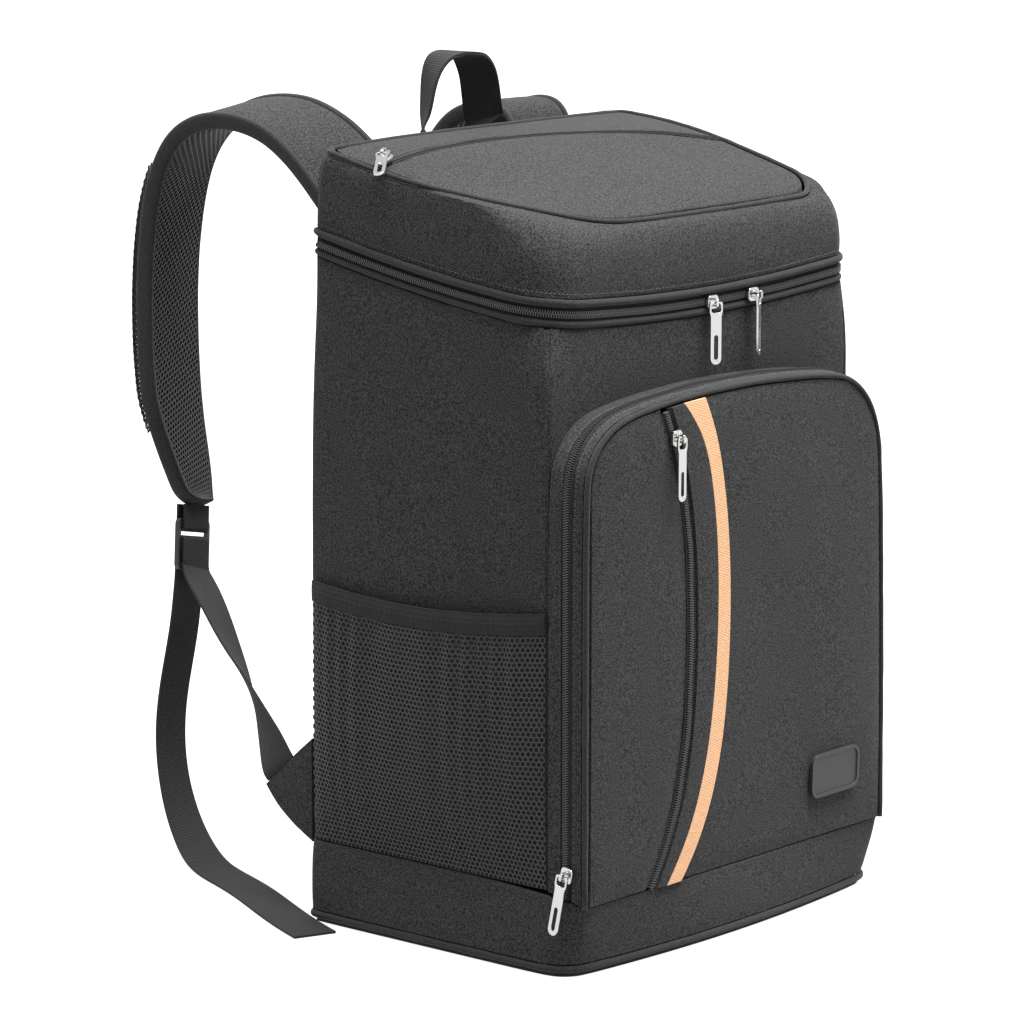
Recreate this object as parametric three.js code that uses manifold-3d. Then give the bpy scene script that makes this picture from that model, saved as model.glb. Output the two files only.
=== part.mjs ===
// A cooler backpack: a hollow insulated box with a zipped lid, a zipped front pocket with a curved
// slash pocket and a coloured stripe, two net side pockets, two padded shoulder straps with
// adjusting webbing, a grab handle and five zip sliders with swinging pull tabs.
//
// Millimetres. X runs across the bag, Y from front to back, Z up. The origin is the centre of the
// underside, the front pocket faces -Y and the shoulder straps hang behind the back, at +Y.

import * as THREE from "three";
import { mergeVertices } from "three/addons/utils/BufferGeometryUtils.js";
import Module from "manifold-3d";

const wasm = await Module();
wasm.setup();

// Driving sizes of the body
const bodyWidth = 293.5;
const bodyDepth = 190;
const pocketDepth = 28.4;
const bodyHeight = 390.3;
const lidBackRise = 93.7;
const lidFrontRise = 52.7;
const lidBackHeight = bodyHeight + lidBackRise;
const lidFrontHeight = bodyHeight + lidFrontRise;
const wall = 6;
const clothWall = 2.2;
const gap = 0.3;

// Heights and edges of the base
const floorThickness = 2.5;
const floorInset = 3;
const floorPlug = 8;
const plugInset = 6.2;
const basePipingInset = 1;
const pipingSize = 4.4;
const bandFrontHeight = 44.5;
const bandSideHeight = 51;
const bandWall = 3;
const baseCornerRadius = 22;
const bandCornerRadius = 9;
const baseBulge = 6;
const baseFrontSet = 1;
const baseFrontBow = 9;

// The zip between body and lid
const zipRoll = 4.8;
const zipTapeHeight = 7.4;
const zipTapeThickness = 1.8;
const lidZipInset = 1.2;
const coilWidth = 4.2;
const coilHeight = 1.5;
const zipFrontBow = 7.5;
const zipBackRise = 36;
const zipRiseBend = 1.4;
const zipCornerRadius = 16;
const zipLeftRadius = 32;
const bodyCornerRadius = 4;
const backCornerRadius = 8;
const backBulge = 6;
const rightBulge = 3.5;

// The lid
const lidInset = 5;
const lidFrontInset = 13;
const lidSeamRadius = 33;
const lidLeftRadius = 85;
const lidPipingSize = 3.4;
const lidThickness = 5;
const lidTopThickness = 3.2;
const lidBackInset = 8;
const lidLeftDrop = 11;
const lidRightDrop = 3;
const lidFullness = 1.4;
const lidZipBack = 61.5;
const lidZipBow = 38;
const lidZipBend = 1.6;
const lidZipTurn = 0.12;
const cornerSlack = 1.1;
const lidTopRaise = 0.6;
const lidZipSink = 1.2;
const lidPocketTape = 6.6;

// The front pocket
const pocketDrop = 44.8;
const pocketHeight = bodyHeight - pocketDrop;
const pocketWidth = 296.5;
const pocketCornerWidth = 56;
const pocketCornerHeight = 44;
const pocketTopBow = 5;
const pocketRightCorner = 60;
const pocketRightIn = 2;
const pocketRightOut = 5.5;
const pocketPipingSize = 3.6;
const pipingInset = 0.6;
const pocketCrown = 3;
const pocketZipWidth = 7.6;
const pocketZipFront = 14.2;

// The slash pocket, its flap and the stripe
const slashMiddle = 51.8;
const slashWaist = 0.507;
const slashLowBow = 35;
const slashHighBow = 28;
const slashZipWidth = 7;
const slashZipSink = 1.5;
const flapWidth = 20;
const flapThickness = 1.4;
const stripeWidth = 12;
const stripeThickness = 1.2;

// The badge on the pocket
const badgeWidth = 50;
const badgeHeight = 28;
const badgeThickness = 2.4;
const badgeRim = 2.2;
const badgeCentreX = 93.6;
const badgeCentreZ = 85.5;
const badgeCorner = 7;

// The net side pockets
const netHeight = 216;
const netBandHeight = 13;
const netBulge = 11.5;
const netThickness = 1.5;
const netFolds = 6;
const netFoldDepth = 1.6;

// Webbing, straps and handle
const webWidth = 28;
const webThickness = 1.5;
const webSteps = 42;
const handleWidth = 25;
const handleThickness = 2;
const handleMiddle = -0.5;
const padThickness = 8;
const padMeshThickness = 2.4;
const padEdge = 3;
const sleeveSwell = 8;
const sleeveFrom = 15;
const sleeveTo = 26;
const strapReach = 200;
const strapRise = 276;
const strapLow = 226;
const rightStrapReach = 105;
const rightStrapRise = 268;
const handleSpan = 56;
const handleTop = 530;
const tabThickness = 2.6;

// Ladder locks
const lockWidth = 35;
const lockHeight = 34;
const lockThickness = 3.2;
const lockMiddleBar = 5.6;
const lockSlot = 9;
const lockDrop = 27;

// Zip sliders and their pull tabs
const sliderWidth = 8.6;
const sliderLength = 10;
const sliderThickness = 2.6;
const sliderCorner = 2.4;
const stapleWidth = 1.8;
const stapleWire = 1.1;
const stapleHalf = 2.5;
const stapleWindow = 4.4;
const tabPivot = 3.1;
const tabEyeWidth = 8.8;
const tabEyeWall = 1.1;
const tabPlate = 1.2;
const tabLength = 38;
const tabTailWidth = 7.2;
const tabSlotWidth = 2.8;
const tabSlotLength = 15;
const tabSlotFoot = 3.2;
const tabEyeHeight = 5.6;
const tabShoulder = 5.5;
const tabSlope = 3;
const tabCorner = 1.5;
const lidSliderLeft = 2.3;
const lidSliderRight = 42.3;
const pocketSliderHeight = 65;
const pocketSliderShift = 3;
const pocketTabTilt = 12;
const slashSliderDrop = 26.5;
const topSliderInset = 10;
const leftPullTurn = -25;
const rightPullTurn = 24;
const topPullSwivel = 30;

const frontY = -(bodyDepth + pocketDepth) / 2 + pocketDepth;
const backY = frontY + bodyDepth;
const pocketY = frontY - pocketDepth;
const half = bodyWidth / 2;

// Colours and finishes
const finishes = {
  fabric: { color: 0x4a4a4c, roughness: 0.95, metalness: 0 },
  darkFabric: { color: 0x333335, roughness: 0.95, metalness: 0 },
  piping: { color: 0x2a2a2c, roughness: 0.85, metalness: 0 },
  webbing: { color: 0x2e2e30, roughness: 0.8, metalness: 0 },
  net: { color: 0x1c1c1e, roughness: 0.9, metalness: 0 },
  zip: { color: 0x18181a, roughness: 0.6, metalness: 0 },
  stripe: { color: 0xf0a868, roughness: 0.7, metalness: 0 },
  metal: { color: 0xc8c8cc, roughness: 0.2, metalness: 1 },
  plastic: { color: 0x1a1a1c, roughness: 0.45, metalness: 0 },
  rubber: { color: 0x18181a, roughness: 0.6, metalness: 0 },
};

const model = new THREE.Group();

function addMesh(name, geometry, finish, parent = model) {
  const mesh = new THREE.Mesh(geometry, new THREE.MeshStandardMaterial(finishes[finish]));
  mesh.name = name;
  parent.add(mesh);
  return mesh;
}

function clamp(value, low = 0, high = 1) {
  return Math.min(high, Math.max(low, value));
}

function vector(x, y, z) {
  return new THREE.Vector3(x, y, z);
}

function mix(a, b, share) {
  return a + (b - a) * share;
}

function steps(count, from = 0, to = 1) {
  return Array.from({ length: count + 1 }, (_, index) => mix(from, to, index / count));
}

// Looks a share up in a table of rows with a column "at", on straight lines between the rows
function lookUp(rows, at, column) {
  let row = 0;
  while (row < rows.length - 2 && rows[row + 1].at < at) row += 1;
  const low = rows[row];
  const high = rows[row + 1];
  const share = clamp((at - low.at) / (high.at - low.at));
  return mix(low[column], high[column], share);
}

// Solids

function outward(positions, index) {
  let volume = 0;
  for (let face = 0; face < index.length; face += 3) {
    const corners = [0, 1, 2].map((corner) => {
      return new THREE.Vector3().fromArray(positions, index[face + corner] * 3);
    });
    volume += corners[0].dot(corners[1].cross(corners[2]));
  }
  if (volume < 0) index.reverse();
  const geometry = new THREE.BufferGeometry();
  geometry.setAttribute("position", new THREE.Float32BufferAttribute(positions, 3));
  geometry.setIndex(index);
  geometry.computeVertexNormals();
  return geometry;
}

// A closed sheet: an outer and an inner surface over the same stations, joined round their edges.
// A loop joins its last column to its first one.
function sheetBody(us, vs, outer, inner, loop = false) {
  const rows = vs.length;
  const columns = us.length;
  const positions = [];
  for (const surface of [outer, inner]) {
    for (const u of us) {
      for (const v of vs) positions.push(...surface(u, v).toArray());
    }
  }
  const at = (layer, column, row) => (layer * columns + (column % columns)) * rows + row;
  const index = [];
  const quad = (a, b, c, d) => index.push(a, b, c, a, c, d);
  const spans = loop ? columns : columns - 1;
  for (let i = 0; i < spans; i += 1) {
    for (let j = 0; j < rows - 1; j += 1) {
      quad(at(0, i, j), at(0, i + 1, j), at(0, i + 1, j + 1), at(0, i, j + 1));
      quad(at(1, i, j), at(1, i, j + 1), at(1, i + 1, j + 1), at(1, i + 1, j));
    }
    quad(at(0, i, 0), at(1, i, 0), at(1, i + 1, 0), at(0, i + 1, 0));
    quad(at(0, i, rows - 1), at(0, i + 1, rows - 1), at(1, i + 1, rows - 1), at(1, i, rows - 1));
  }
  const last = columns - 1;
  for (let j = 0; j < rows - 1 && !loop; j += 1) {
    quad(at(0, 0, j), at(0, 0, j + 1), at(1, 0, j + 1), at(1, 0, j));
    quad(at(0, last, j), at(1, last, j), at(1, last, j + 1), at(0, last, j + 1));
  }
  return outward(positions, index);
}

// A closed bar: a convex section of [across, out] points carried along frames, each with a centre
// and the two directions of the section. The faces' diagonals run alike on both of its sides, so
// that two twisted bars can lie on each other.
function bar(frames, section, loop = false) {
  const positions = [];
  const size = section.length;
  for (const frame of frames) {
    const points = frame.section ?? section;
    for (const [across, out] of points) {
      const point = frame.centre.clone();
      point.addScaledVector(frame.across, across).addScaledVector(frame.out, out);
      positions.push(...point.toArray());
    }
  }
  const index = [];
  const spans = loop ? frames.length : frames.length - 1;
  for (let i = 0; i < spans; i += 1) {
    const here = i * size;
    const next = ((i + 1) % frames.length) * size;
    const points = frames[i].section ?? section;
    for (let k = 0; k < size; k += 1) {
      const side = (k + 1) % size;
      const [a, b, c, d] = [here + k, here + side, next + side, next + k];
      if (points[k][0] > points[side][0]) index.push(a, b, d, b, c, d);
      else index.push(a, b, c, a, c, d);
    }
  }
  const end = (frames.length - 1) * size;
  for (let k = 1; k < size - 1 && !loop; k += 1) {
    index.push(0, k + 1, k, end, end + k, end + k + 1);
  }
  return outward(positions, index);
}

function roundSection(diameter, sides = 6) {
  return steps(sides).slice(0, -1).map((share) => {
    const angle = share * Math.PI * 2;
    return [(Math.cos(angle) * diameter) / 2, (Math.sin(angle) * diameter) / 2];
  });
}

function boxSection(width, thickness) {
  const w = width / 2;
  const t = thickness / 2;
  return [[-w, -t], [w, -t], [w, t], [-w, t]];
}

// A zip's tape with its coil standing on the outer side
function zipSection(tape) {
  const t = zipTapeThickness / 2;
  return [
    [-tape / 2, -t], [tape / 2, -t], [tape / 2, t],
    [coilWidth / 2, t + coilHeight / 2], [coilWidth / 4, t + coilHeight],
    [-coilWidth / 4, t + coilHeight], [-coilWidth / 2, t + coilHeight / 2], [-tape / 2, t],
  ];
}

function toManifold(geometry) {
  const bare = new THREE.BufferGeometry();
  bare.setAttribute("position", geometry.getAttribute("position"));
  if (geometry.getIndex()) bare.setIndex(geometry.getIndex());
  const merged = mergeVertices(bare, 1e-4);
  return new wasm.Manifold(new wasm.Mesh({
    numProp: 3,
    vertProperties: new Float32Array(merged.getAttribute("position").array),
    triVerts: new Uint32Array(merged.getIndex().array),
  }));
}

function fromManifold(solid) {
  const mesh = solid.getMesh();
  const geometry = new THREE.BufferGeometry();
  geometry.setAttribute("position", new THREE.Float32BufferAttribute(mesh.vertProperties, 3));
  geometry.setIndex(Array.from(mesh.triVerts));
  return geometry;
}

// The plan outline of the bag: u runs 0 to 8 round it, over the left side, the front left corner,
// the front, its right corner, the right side, the back right corner, the back and its left corner.
function outline(u, plan, inset = 0) {
  const turn = ((u % 8) + 8) % 8;
  const part = Math.min(7, Math.floor(turn));
  const t = turn - part;
  const w = plan.half - inset;
  const wr = w + plan.right;
  const bow = plan.bow;
  const front = plan.front + inset;
  const back = plan.back - inset;
  const rf = Math.max(0.6, plan.rFront - inset);
  const rl = Math.max(0.6, plan.rLeft - inset);
  const rb = Math.max(0.6, plan.rBack - inset);
  const shoulder = front + bow;
  const sin = Math.sin((t * Math.PI) / 2);
  const cos = Math.cos((t * Math.PI) / 2);
  const straight = mix(back - rb, shoulder + rl, t);
  const straightBack = mix(shoulder + rf, back - rb, t);
  const spots = [
    [-w, straight, -1, 0],
    [-w + rl - rl * cos, shoulder + rl - rl * sin, -cos, -sin],
    [mix(-w + rl, wr - rf, t), front + bow * (2 * t - 1) ** 2, 0, -1],
    [wr - rf + rf * sin, shoulder + rf - rf * cos, sin, -cos],
    [wr, straightBack, 1, 0],
    [wr - rb + rb * cos, back - rb + rb * sin, cos, sin],
    [mix(wr - rb, -w + rb, t), back, 0, 1],
    [-w + rb - rb * sin, back - rb + rb * cos, -sin, cos],
  ];
  const [x, y, nx, ny] = spots[part];
  return { x, y, normal: vector(nx, ny, 0) };
}

// Stations along the outline: the straights' own shares and four to each corner
function stations(from, to, straightSteps = 3, cornerSteps = 3) {
  const all = [];
  for (let part = Math.floor(from); part < to; part += 1) {
    const count = part % 2 === 0 ? straightSteps : cornerSteps;
    for (const share of steps(count)) all.push(part + share);
  }
  const inside = all.filter((u) => u > from + 0.04 && u < to - 0.04);
  return [from, ...new Set(inside.map((u) => Math.round(u * 1e4) / 1e4)), to];
}

// The body's plan: a small corner radius that opens out towards the zip
// and a back that stands out below it
const bodyRows = [
  { at: 0, corner: 0, bulge: 0.8 },
  { at: 0.4, corner: 0, bulge: 1 },
  { at: 0.8, corner: 0, bulge: 0.9 },
  { at: 0.88, corner: 0, bulge: 0.7 },
  { at: 1, corner: 1, bulge: 0 },
];

function bodyPlan(z) {
  const corner = lookUp(bodyRows, z / bodyHeight, "corner");
  return {
    half,
    front: frontY,
    back: backY + backBulge * lookUp(bodyRows, z / bodyHeight, "bulge"),
    rFront: mix(bodyCornerRadius, zipCornerRadius, corner * corner),
    rLeft: mix(bodyCornerRadius, zipLeftRadius, corner * corner),
    rBack: backCornerRadius,
    bow: 0,
    right: 0,
  };
}

// The zip's height at a point of the outline: bowed in front, rising to the back
function zipLevel(x, y) {
  const back = clamp((y - frontY) / bodyDepth);
  const bow = zipFrontBow * (x / half) ** 2 * (1 - back);
  return bodyHeight + bow + zipBackRise * back ** zipRiseBend;
}

const zipPlan = bodyPlan(bodyHeight);
const lowRollOffset = -zipTapeHeight / 2 - zipRoll / 2 - gap + 0.5;
const highRollOffset = zipTapeHeight / 2 + zipRoll / 2 + gap;
const panelTopOffset = lowRollOffset - zipRoll / 2 - gap;
const lidBottomOffset = highRollOffset + zipRoll / 2 + gap;

function zipPoint(u, inset, offset) {
  const rim = outline(u, zipPlan);
  const spot = outline(u, zipPlan, inset);
  return vector(spot.x, spot.y, zipLevel(rim.x, rim.y) + offset);
}

// The base: floor, piping and the band that wraps the front pocket's foot

const floorPlan = {
  half: half + baseBulge,
  front: pocketY - baseFrontSet,
  back: backY + backBulge / 2,
  rFront: baseCornerRadius,
  rLeft: baseCornerRadius,
  rBack: backCornerRadius,
  bow: baseFrontBow,
  right: rightBulge,
};
const bandTopPlan = {
  half: pocketWidth / 2 + 0.6,
  front: pocketY,
  back: backY + backBulge * 0.9,
  rFront: bandCornerRadius,
  rLeft: bandCornerRadius,
  rBack: backCornerRadius,
  bow: 1,
  right: rightBulge,
};
const bandBottom = floorThickness + gap + pipingSize + gap;

function mixPlans(a, b, share) {
  const plan = {};
  for (const key of Object.keys(a)) plan[key] = mix(a[key], b[key], share);
  return plan;
}

// The band's top edge is level in front and climbs along the pocket's sides
const bandLevelDepth = 5;

function bandTop(y) {
  const side = clamp((y - pocketY - bandLevelDepth) / (pocketDepth - bandLevelDepth));
  return mix(bandFrontHeight, bandSideHeight, Math.sqrt(side));
}

function bandPoint(u, v, inset) {
  const plan = mixPlans(floorPlan, bandTopPlan, v);
  const spot = outline(u, plan, inset);
  return new THREE.Vector3(spot.x, spot.y, mix(bandBottom, bandTop(spot.y), v));
}

// The floor: a plate with a padded middle that fills the ring of the piping
function floorSolid(round) {
  const slab = (inset, depth) => {
    const shape = new THREE.Shape(round.map((u) => {
      const spot = outline(u, floorPlan, inset);
      return new THREE.Vector2(spot.x, spot.y);
    }));
    return toManifold(new THREE.ExtrudeGeometry(shape, { depth, bevelEnabled: false }));
  };
  return fromManifold(slab(floorInset, floorThickness).add(slab(plugInset, floorPlug)));
}

function addBase() {
  const round = stations(0, 8, 4, 3).slice(0, -1);
  addMesh("base_panel", floorSolid(round), "darkFabric");
  const frames = round.map((u) => {
    const spot = outline(u, floorPlan, basePipingInset);
    return {
      centre: vector(spot.x, spot.y, floorThickness + gap + pipingSize / 2),
      across: vector(0, 0, 1),
      out: spot.normal,
    };
  });
  addMesh("base_piping", bar(frames, roundSection(pipingSize), true), "piping");
  const outer = (u, v) => bandPoint(u, v, 0);
  const inner = (u, v) => bandPoint(u, v, bandWall);
  addMesh("base_band", sheetBody(round, [0, 0.5, 1], outer, inner, true), "fabric");
}

// The walls of the main compartment

function panelBottom(spot) {
  return bandTop(spot.y) + gap;
}

function wallPoint(u, v, inset, topOffset) {
  const spot = outline(u, zipPlan, 0);
  const top = zipLevel(spot.x, spot.y) + topOffset;
  const z = mix(panelBottom(spot), top, v);
  const place = outline(u, bodyPlan(z), inset);
  return vector(place.x, place.y, z);
}

function addWalls() {
  const rises = [0, 0.35, 0.7, 0.86, 0.93, 1];
  const seam = 0.05;
  const parts = [
    { name: "left_side_panel", from: -0.5, to: 1.5, top: panelTopOffset },
    { name: "right_side_panel", from: 3.5, to: 5.5, top: panelTopOffset },
    { name: "back_panel", from: 5.5, to: 7.5, top: -gap },
  ];
  for (const part of parts) {
    const us = stations(part.from + seam, part.to - seam, 3, 2);
    const outer = (u, v) => wallPoint(u, v, 0, part.top);
    const inner = (u, v) => wallPoint(u, v, wall, part.top);
    addMesh(part.name, sheetBody(us, rises, outer, inner), "fabric");
  }
}

// The front panel goes on down behind the pocket, inside the base band
function addFrontPanel() {
  const seam = 0.03;
  const us = stations(1.5 + seam, 3.5 - seam, 4, 2);
  const low = floorPlug + gap;
  const foot = bandSideHeight - gap;
  const footShare = 0.12;
  const point = (u, v, inset) => {
    const spot = outline(u, zipPlan, 0);
    const top = zipLevel(spot.x, spot.y) + panelTopOffset;
    const above = v > footShare;
    const share = above ? (v - footShare) / (1 - footShare) : v / footShare;
    const z = above ? mix(bandSideHeight + gap, top, share) : mix(low, foot, share);
    const narrow = above ? 0 : bandWall + 1.5;
    const plan = bodyPlan(z);
    plan.half -= narrow;
    const place = outline(u, plan, inset);
    return vector(place.x, place.y, z);
  };
  const rises = [0, footShare, footShare + 1e-3, 0.5, 0.86, 0.93, 1];
  const geometry = sheetBody(us, rises, (u, v) => point(u, v, 0), (u, v) => point(u, v, wall));
  addMesh("front_panel", geometry, "fabric");
}

// The zip round the lid: a roll of fabric below and above the tape

function addLidZip() {
  const us = stations(-0.5, 5.5, 4, 4);
  const up = vector(0, 0, 1);
  const frames = (inset, offset) => us.map((u) => ({
    centre: zipPoint(u, inset, offset),
    across: up,
    out: outline(u, zipPlan, inset).normal,
  }));
  const low = bar(frames(0.6, lowRollOffset), roundSection(zipRoll - 1));
  const high = bar(frames(0.4, highRollOffset), roundSection(zipRoll));
  addMesh("rim_piping", low, "piping");
  addMesh("lid_piping", high, "piping");
  addMesh("lid_zip", bar(frames(lidZipInset, 0), zipSection(zipTapeHeight)), "zip");
}

// The lid: walls that roll over into a sloping top

const lidSeamPlan = {
  half: half - lidInset,
  front: frontY + lidFrontInset,
  back: backY - lidBackInset,
  rFront: lidSeamRadius,
  rLeft: lidLeftRadius,
  rBack: backCornerRadius,
  bow: 1,
  right: 0,
};
const lidRows = [
  { at: 0, rise: 0, dip: 0 },
  { at: 0.11, rise: 0.22, dip: 0 },
  { at: 0.4, rise: 0.58, dip: 0.35 },
  { at: 0.63, rise: 0.88, dip: 1 },
  { at: 0.82, rise: 0.985, dip: 0.85 },
  { at: 1, rise: 1, dip: 0.25 },
];

// The top's height: it slopes down to the front and dips towards the sides, more on the left
function lidTopLevel(x, y) {
  const depth = clamp((y - lidSeamPlan.front) / (lidSeamPlan.back - lidSeamPlan.front));
  const edge = x < 0 ? lidLeftDrop : lidRightDrop;
  const dip = edge * Math.abs(x / lidSeamPlan.half) ** 4 * lookUp(lidRows, depth, "dip");
  return mix(lidFrontHeight, lidBackHeight, lookUp(lidRows, depth, "rise")) - dip;
}

// The walls end beside the piping that closes the lid's upper edge
const lidWallClear = lidPipingSize / 2 + gap;

function lidWallPoint(u, v, inset) {
  const foot = zipPoint(u, inset, lidBottomOffset);
  const spot = outline(u, lidSeamPlan, -lidWallClear);
  const seamHeight = lidTopLevel(spot.x, spot.y) - inset;
  const angle = (v * Math.PI) / 2;
  const bend = (1 - Math.cos(angle)) ** lidFullness;
  return vector(
    mix(foot.x, spot.x, bend),
    mix(foot.y, spot.y, bend),
    mix(foot.z, seamHeight, Math.sin(angle)),
  );
}

// The lid's back has no zip below it, so it starts where the back panel ends
function lidBackPoint(u, v, inset) {
  const point = lidWallPoint(u, v, inset);
  point.z -= (lidBottomOffset - gap) * Math.cos((v * Math.PI) / 2);
  return point;
}

function addLid() {
  const rises = [0, 0.25, 0.5, 0.75, 1];
  const seam = 0.04;
  const us = stations(-0.5 + seam, 5.5 - seam, 4, 6);
  const walls = sheetBody(us, rises, (u, v) => lidWallPoint(u, v, 0),
    (u, v) => lidWallPoint(u, v, lidThickness));
  addMesh("lid_wall", walls, "fabric");
  const backUs = stations(5.5 + seam, 7.5 - seam, 4, 3);
  const back = sheetBody(backUs, rises, (u, v) => lidBackPoint(u, v, 0),
    (u, v) => lidBackPoint(u, v, lidThickness));
  addMesh("lid_back", back, "fabric");
  const frames = stations(0, 8, 4, 6).slice(0, -1).map((u) => {
    const spot = outline(u, lidSeamPlan);
    return {
      centre: vector(spot.x, spot.y, lidTopLevel(spot.x, spot.y)),
      across: vector(0, 0, 1),
      out: spot.normal,
    };
  });
  addMesh("lid_top_piping", bar(frames, roundSection(lidPipingSize), true), "piping");
  addLidTop();
}

// The zip line across the top: straight on the left, it turns to the front on the right
function lidZipY(x) {
  return lidZipBack - lidZipBow * Math.max(0, x / half + lidZipTurn) ** lidZipBend;
}

// The seam's y on one side of the top, front or back, at a given x
function seamEdge(x, inset, side) {
  const plan = lidSeamPlan;
  const w = plan.half - inset;
  const frontRadius = x < 0 ? plan.rLeft : plan.rFront;
  const r = (side < 0 ? frontRadius : plan.rBack) - inset;
  const edge = side < 0 ? plan.front + inset : plan.back - inset;
  const over = Math.max(0, Math.abs(x) - (w - r));
  return edge - side * (r - Math.sqrt(Math.max(0, r * r - over * over)));
}

function addLidTop() {
  const inset = lidPipingSize / 2 + gap + cornerSlack;
  const reach = lidSeamPlan.half - inset;
  const across = steps(14, -1, 1).map((share) => Math.sin((share * Math.PI) / 2) * reach);
  const topPoint = (x, y, drop) => vector(x, y, lidTopLevel(x, y) + lidTopRaise - drop);
  const zipHalf = lidPocketTape / 2 + gap;
  const patch = (from, to, rows) => {
    const layer = (drop) => (x, v) => topPoint(x, mix(from(x), to(x), v), drop);
    return sheetBody(across, steps(rows), layer(0), layer(lidTopThickness));
  };
  const front = (x) => seamEdge(x, inset, -1);
  const back = (x) => seamEdge(x, inset, 1);
  const zipFront = (x) => Math.max(front(x) + 1, lidZipY(x) - zipHalf);
  const zipBack = (x) => lidZipY(x) + zipHalf;
  addMesh("lid_panel", patch(front, zipFront, 5), "fabric");
  addMesh("lid_back_strip", patch(zipBack, back, 2), "fabric");
  const frames = across.map((x) => ({
    centre: topPoint(x, lidZipY(x), zipTapeThickness / 2 + lidZipSink),
    across: vector(0, 1, 0),
    out: vector(0, 0, 1),
  }));
  addMesh("lid_pocket_zip", bar(frames, zipSection(lidPocketTape)), "zip");
}

// The front pocket: an arch that stands forward of the front panel

// A point of the arch: v runs 0 to 5 up the left side, round the corner, over the top and down
function arch(v, inset = 0, low = bandFrontHeight + gap) {
  const part = Math.min(4, Math.floor(v));
  const t = v - part;
  const w = pocketWidth / 2 - inset;
  const wr = w - pocketRightIn;
  const top = pocketHeight - inset;
  const cw = pocketCornerWidth - inset;
  const ch = pocketCornerHeight - inset;
  const cr = pocketRightCorner - inset;
  const shoulder = top - pocketTopBow - ch;
  const rightShoulder = top - pocketTopBow - cr;
  const sin = Math.sin((t * Math.PI) / 2);
  const cos = Math.cos((t * Math.PI) / 2);
  const spots = [
    [-w, mix(low, shoulder, t), -1, 0],
    [-w + cw * (1 - cos), shoulder + ch * sin, -cos, sin],
    [mix(-w + cw, wr - cw, t), top - pocketTopBow * (2 * t - 1) ** 2, 0, 1],
    [wr - cw + cw * sin, rightShoulder + cr * cos, sin, cos],
    [wr + pocketRightOut * (1 - (1 - t) ** 2), mix(rightShoulder, low, t), 1, 0],
  ];
  const [x, z, nx, nz] = spots[part];
  return { x, z, normal: vector(nx, 0, nz) };
}

const archStations = [0, 0.5, 1, 1.22, 1.44, 1.68, 2, 2.33, 2.67, 3, 3.25, 3.5, 3.75, 4, 4.33, 4.67, 5];

function archPoint(v, y, inset) {
  const spot = arch(v, inset, bandTop(y + 2) + gap);
  return vector(spot.x, y, spot.z);
}

const pocketZipY = pocketY + pocketZipFront;

function addPocketEdge() {
  const zipBackY = pocketZipY + pocketZipWidth / 2 + gap;
  const zipFrontY = pocketZipY - pocketZipWidth / 2 - gap;
  const pipingY = pocketY + pocketPipingSize / 2 - 0.4;
  const ring = (fromY, toY, fromInset, toInset) => {
    const surface = (inset) => (v, t) => {
      return archPoint(v, mix(fromY, toY, t), inset + mix(fromInset, toInset, t));
    };
    return sheetBody(archStations, [0, 1], surface(0), surface(clothWall));
  };
  addMesh("pocket_gusset_back", ring(frontY - gap, zipBackY, 0, 0), "fabric");
  const gussetFrontY = pipingY + pocketPipingSize / 2 + gap;
  addMesh("pocket_gusset_front", ring(zipFrontY, gussetFrontY, 0, 1), "fabric");
  const frames = (y, inset) => archStations.map((v) => ({
    centre: archPoint(v, y, inset),
    across: vector(0, 1, 0),
    out: arch(v).normal,
  }));
  const zipInset = zipTapeThickness / 2 + coilHeight / 2;
  addMesh("pocket_zip", bar(frames(pocketZipY, zipInset), zipSection(pocketZipWidth)), "zip");
  const piping = bar(frames(pipingY, pocketPipingSize / 2 + pipingInset), roundSection(pocketPipingSize));
  addMesh("pocket_piping", piping, "piping");
}

// The slash across the pocket: two bows that meet at its waist, where it lies nearest the middle
function slashX(z) {
  const share = (z - bandFrontHeight) / (pocketHeight - bandFrontHeight);
  const low = share < slashWaist;
  const away = Math.abs(share - slashWaist) / (low ? slashWaist : 1 - slashWaist);
  return -slashMiddle - (low ? slashLowBow * away ** 2.7 : slashHighBow * away ** 2.6);
}

// Where a line beside the slash meets the arch, as the arch's own share
function slashHead(offset, inset) {
  let [low, high] = [2, 3];
  for (let turn = 0; turn < 24; turn += 1) {
    const middle = (low + high) / 2;
    const spot = arch(middle, inset);
    if (spot.x < slashX(spot.z) + offset) low = middle;
    else high = middle;
  }
  return low;
}

// A patch between a foot and a head, which run from left to right, and two sides, which run upwards
function patchPoint({ foot, head, left, right }, s, t) {
  return [0, 1].map((axis) => {
    const edges = mix(foot(s)[axis], head(s)[axis], t) + mix(left(t)[axis], right(t)[axis], s);
    const low = mix(foot(0)[axis], foot(1)[axis], s);
    const high = mix(head(0)[axis], head(1)[axis], s);
    return edges - mix(low, high, t);
  });
}

// The pocket face's outward place: it swells a little between its edges
function faceY(x, z) {
  const side = 1 - Math.abs(x / (pocketWidth / 2 + rightBulge)) ** 4;
  const rise = (z - bandFrontHeight) / (pocketHeight - bandFrontHeight);
  return pocketY - pocketCrown * clamp(side) * clamp(1 - Math.abs(2 * rise - 1) ** 4);
}

const faceInset = pocketPipingSize + pipingInset + cornerSlack;
const faceLow = bandFrontHeight + gap;
const slashHalf = slashZipWidth / 2 + gap;

// Shares of the slash's height, closer together where it bends most
const slashRises = [0, 0.07, 0.17, 0.32, 0.52, 0.7, 0.84, 0.93, 1];

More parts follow.
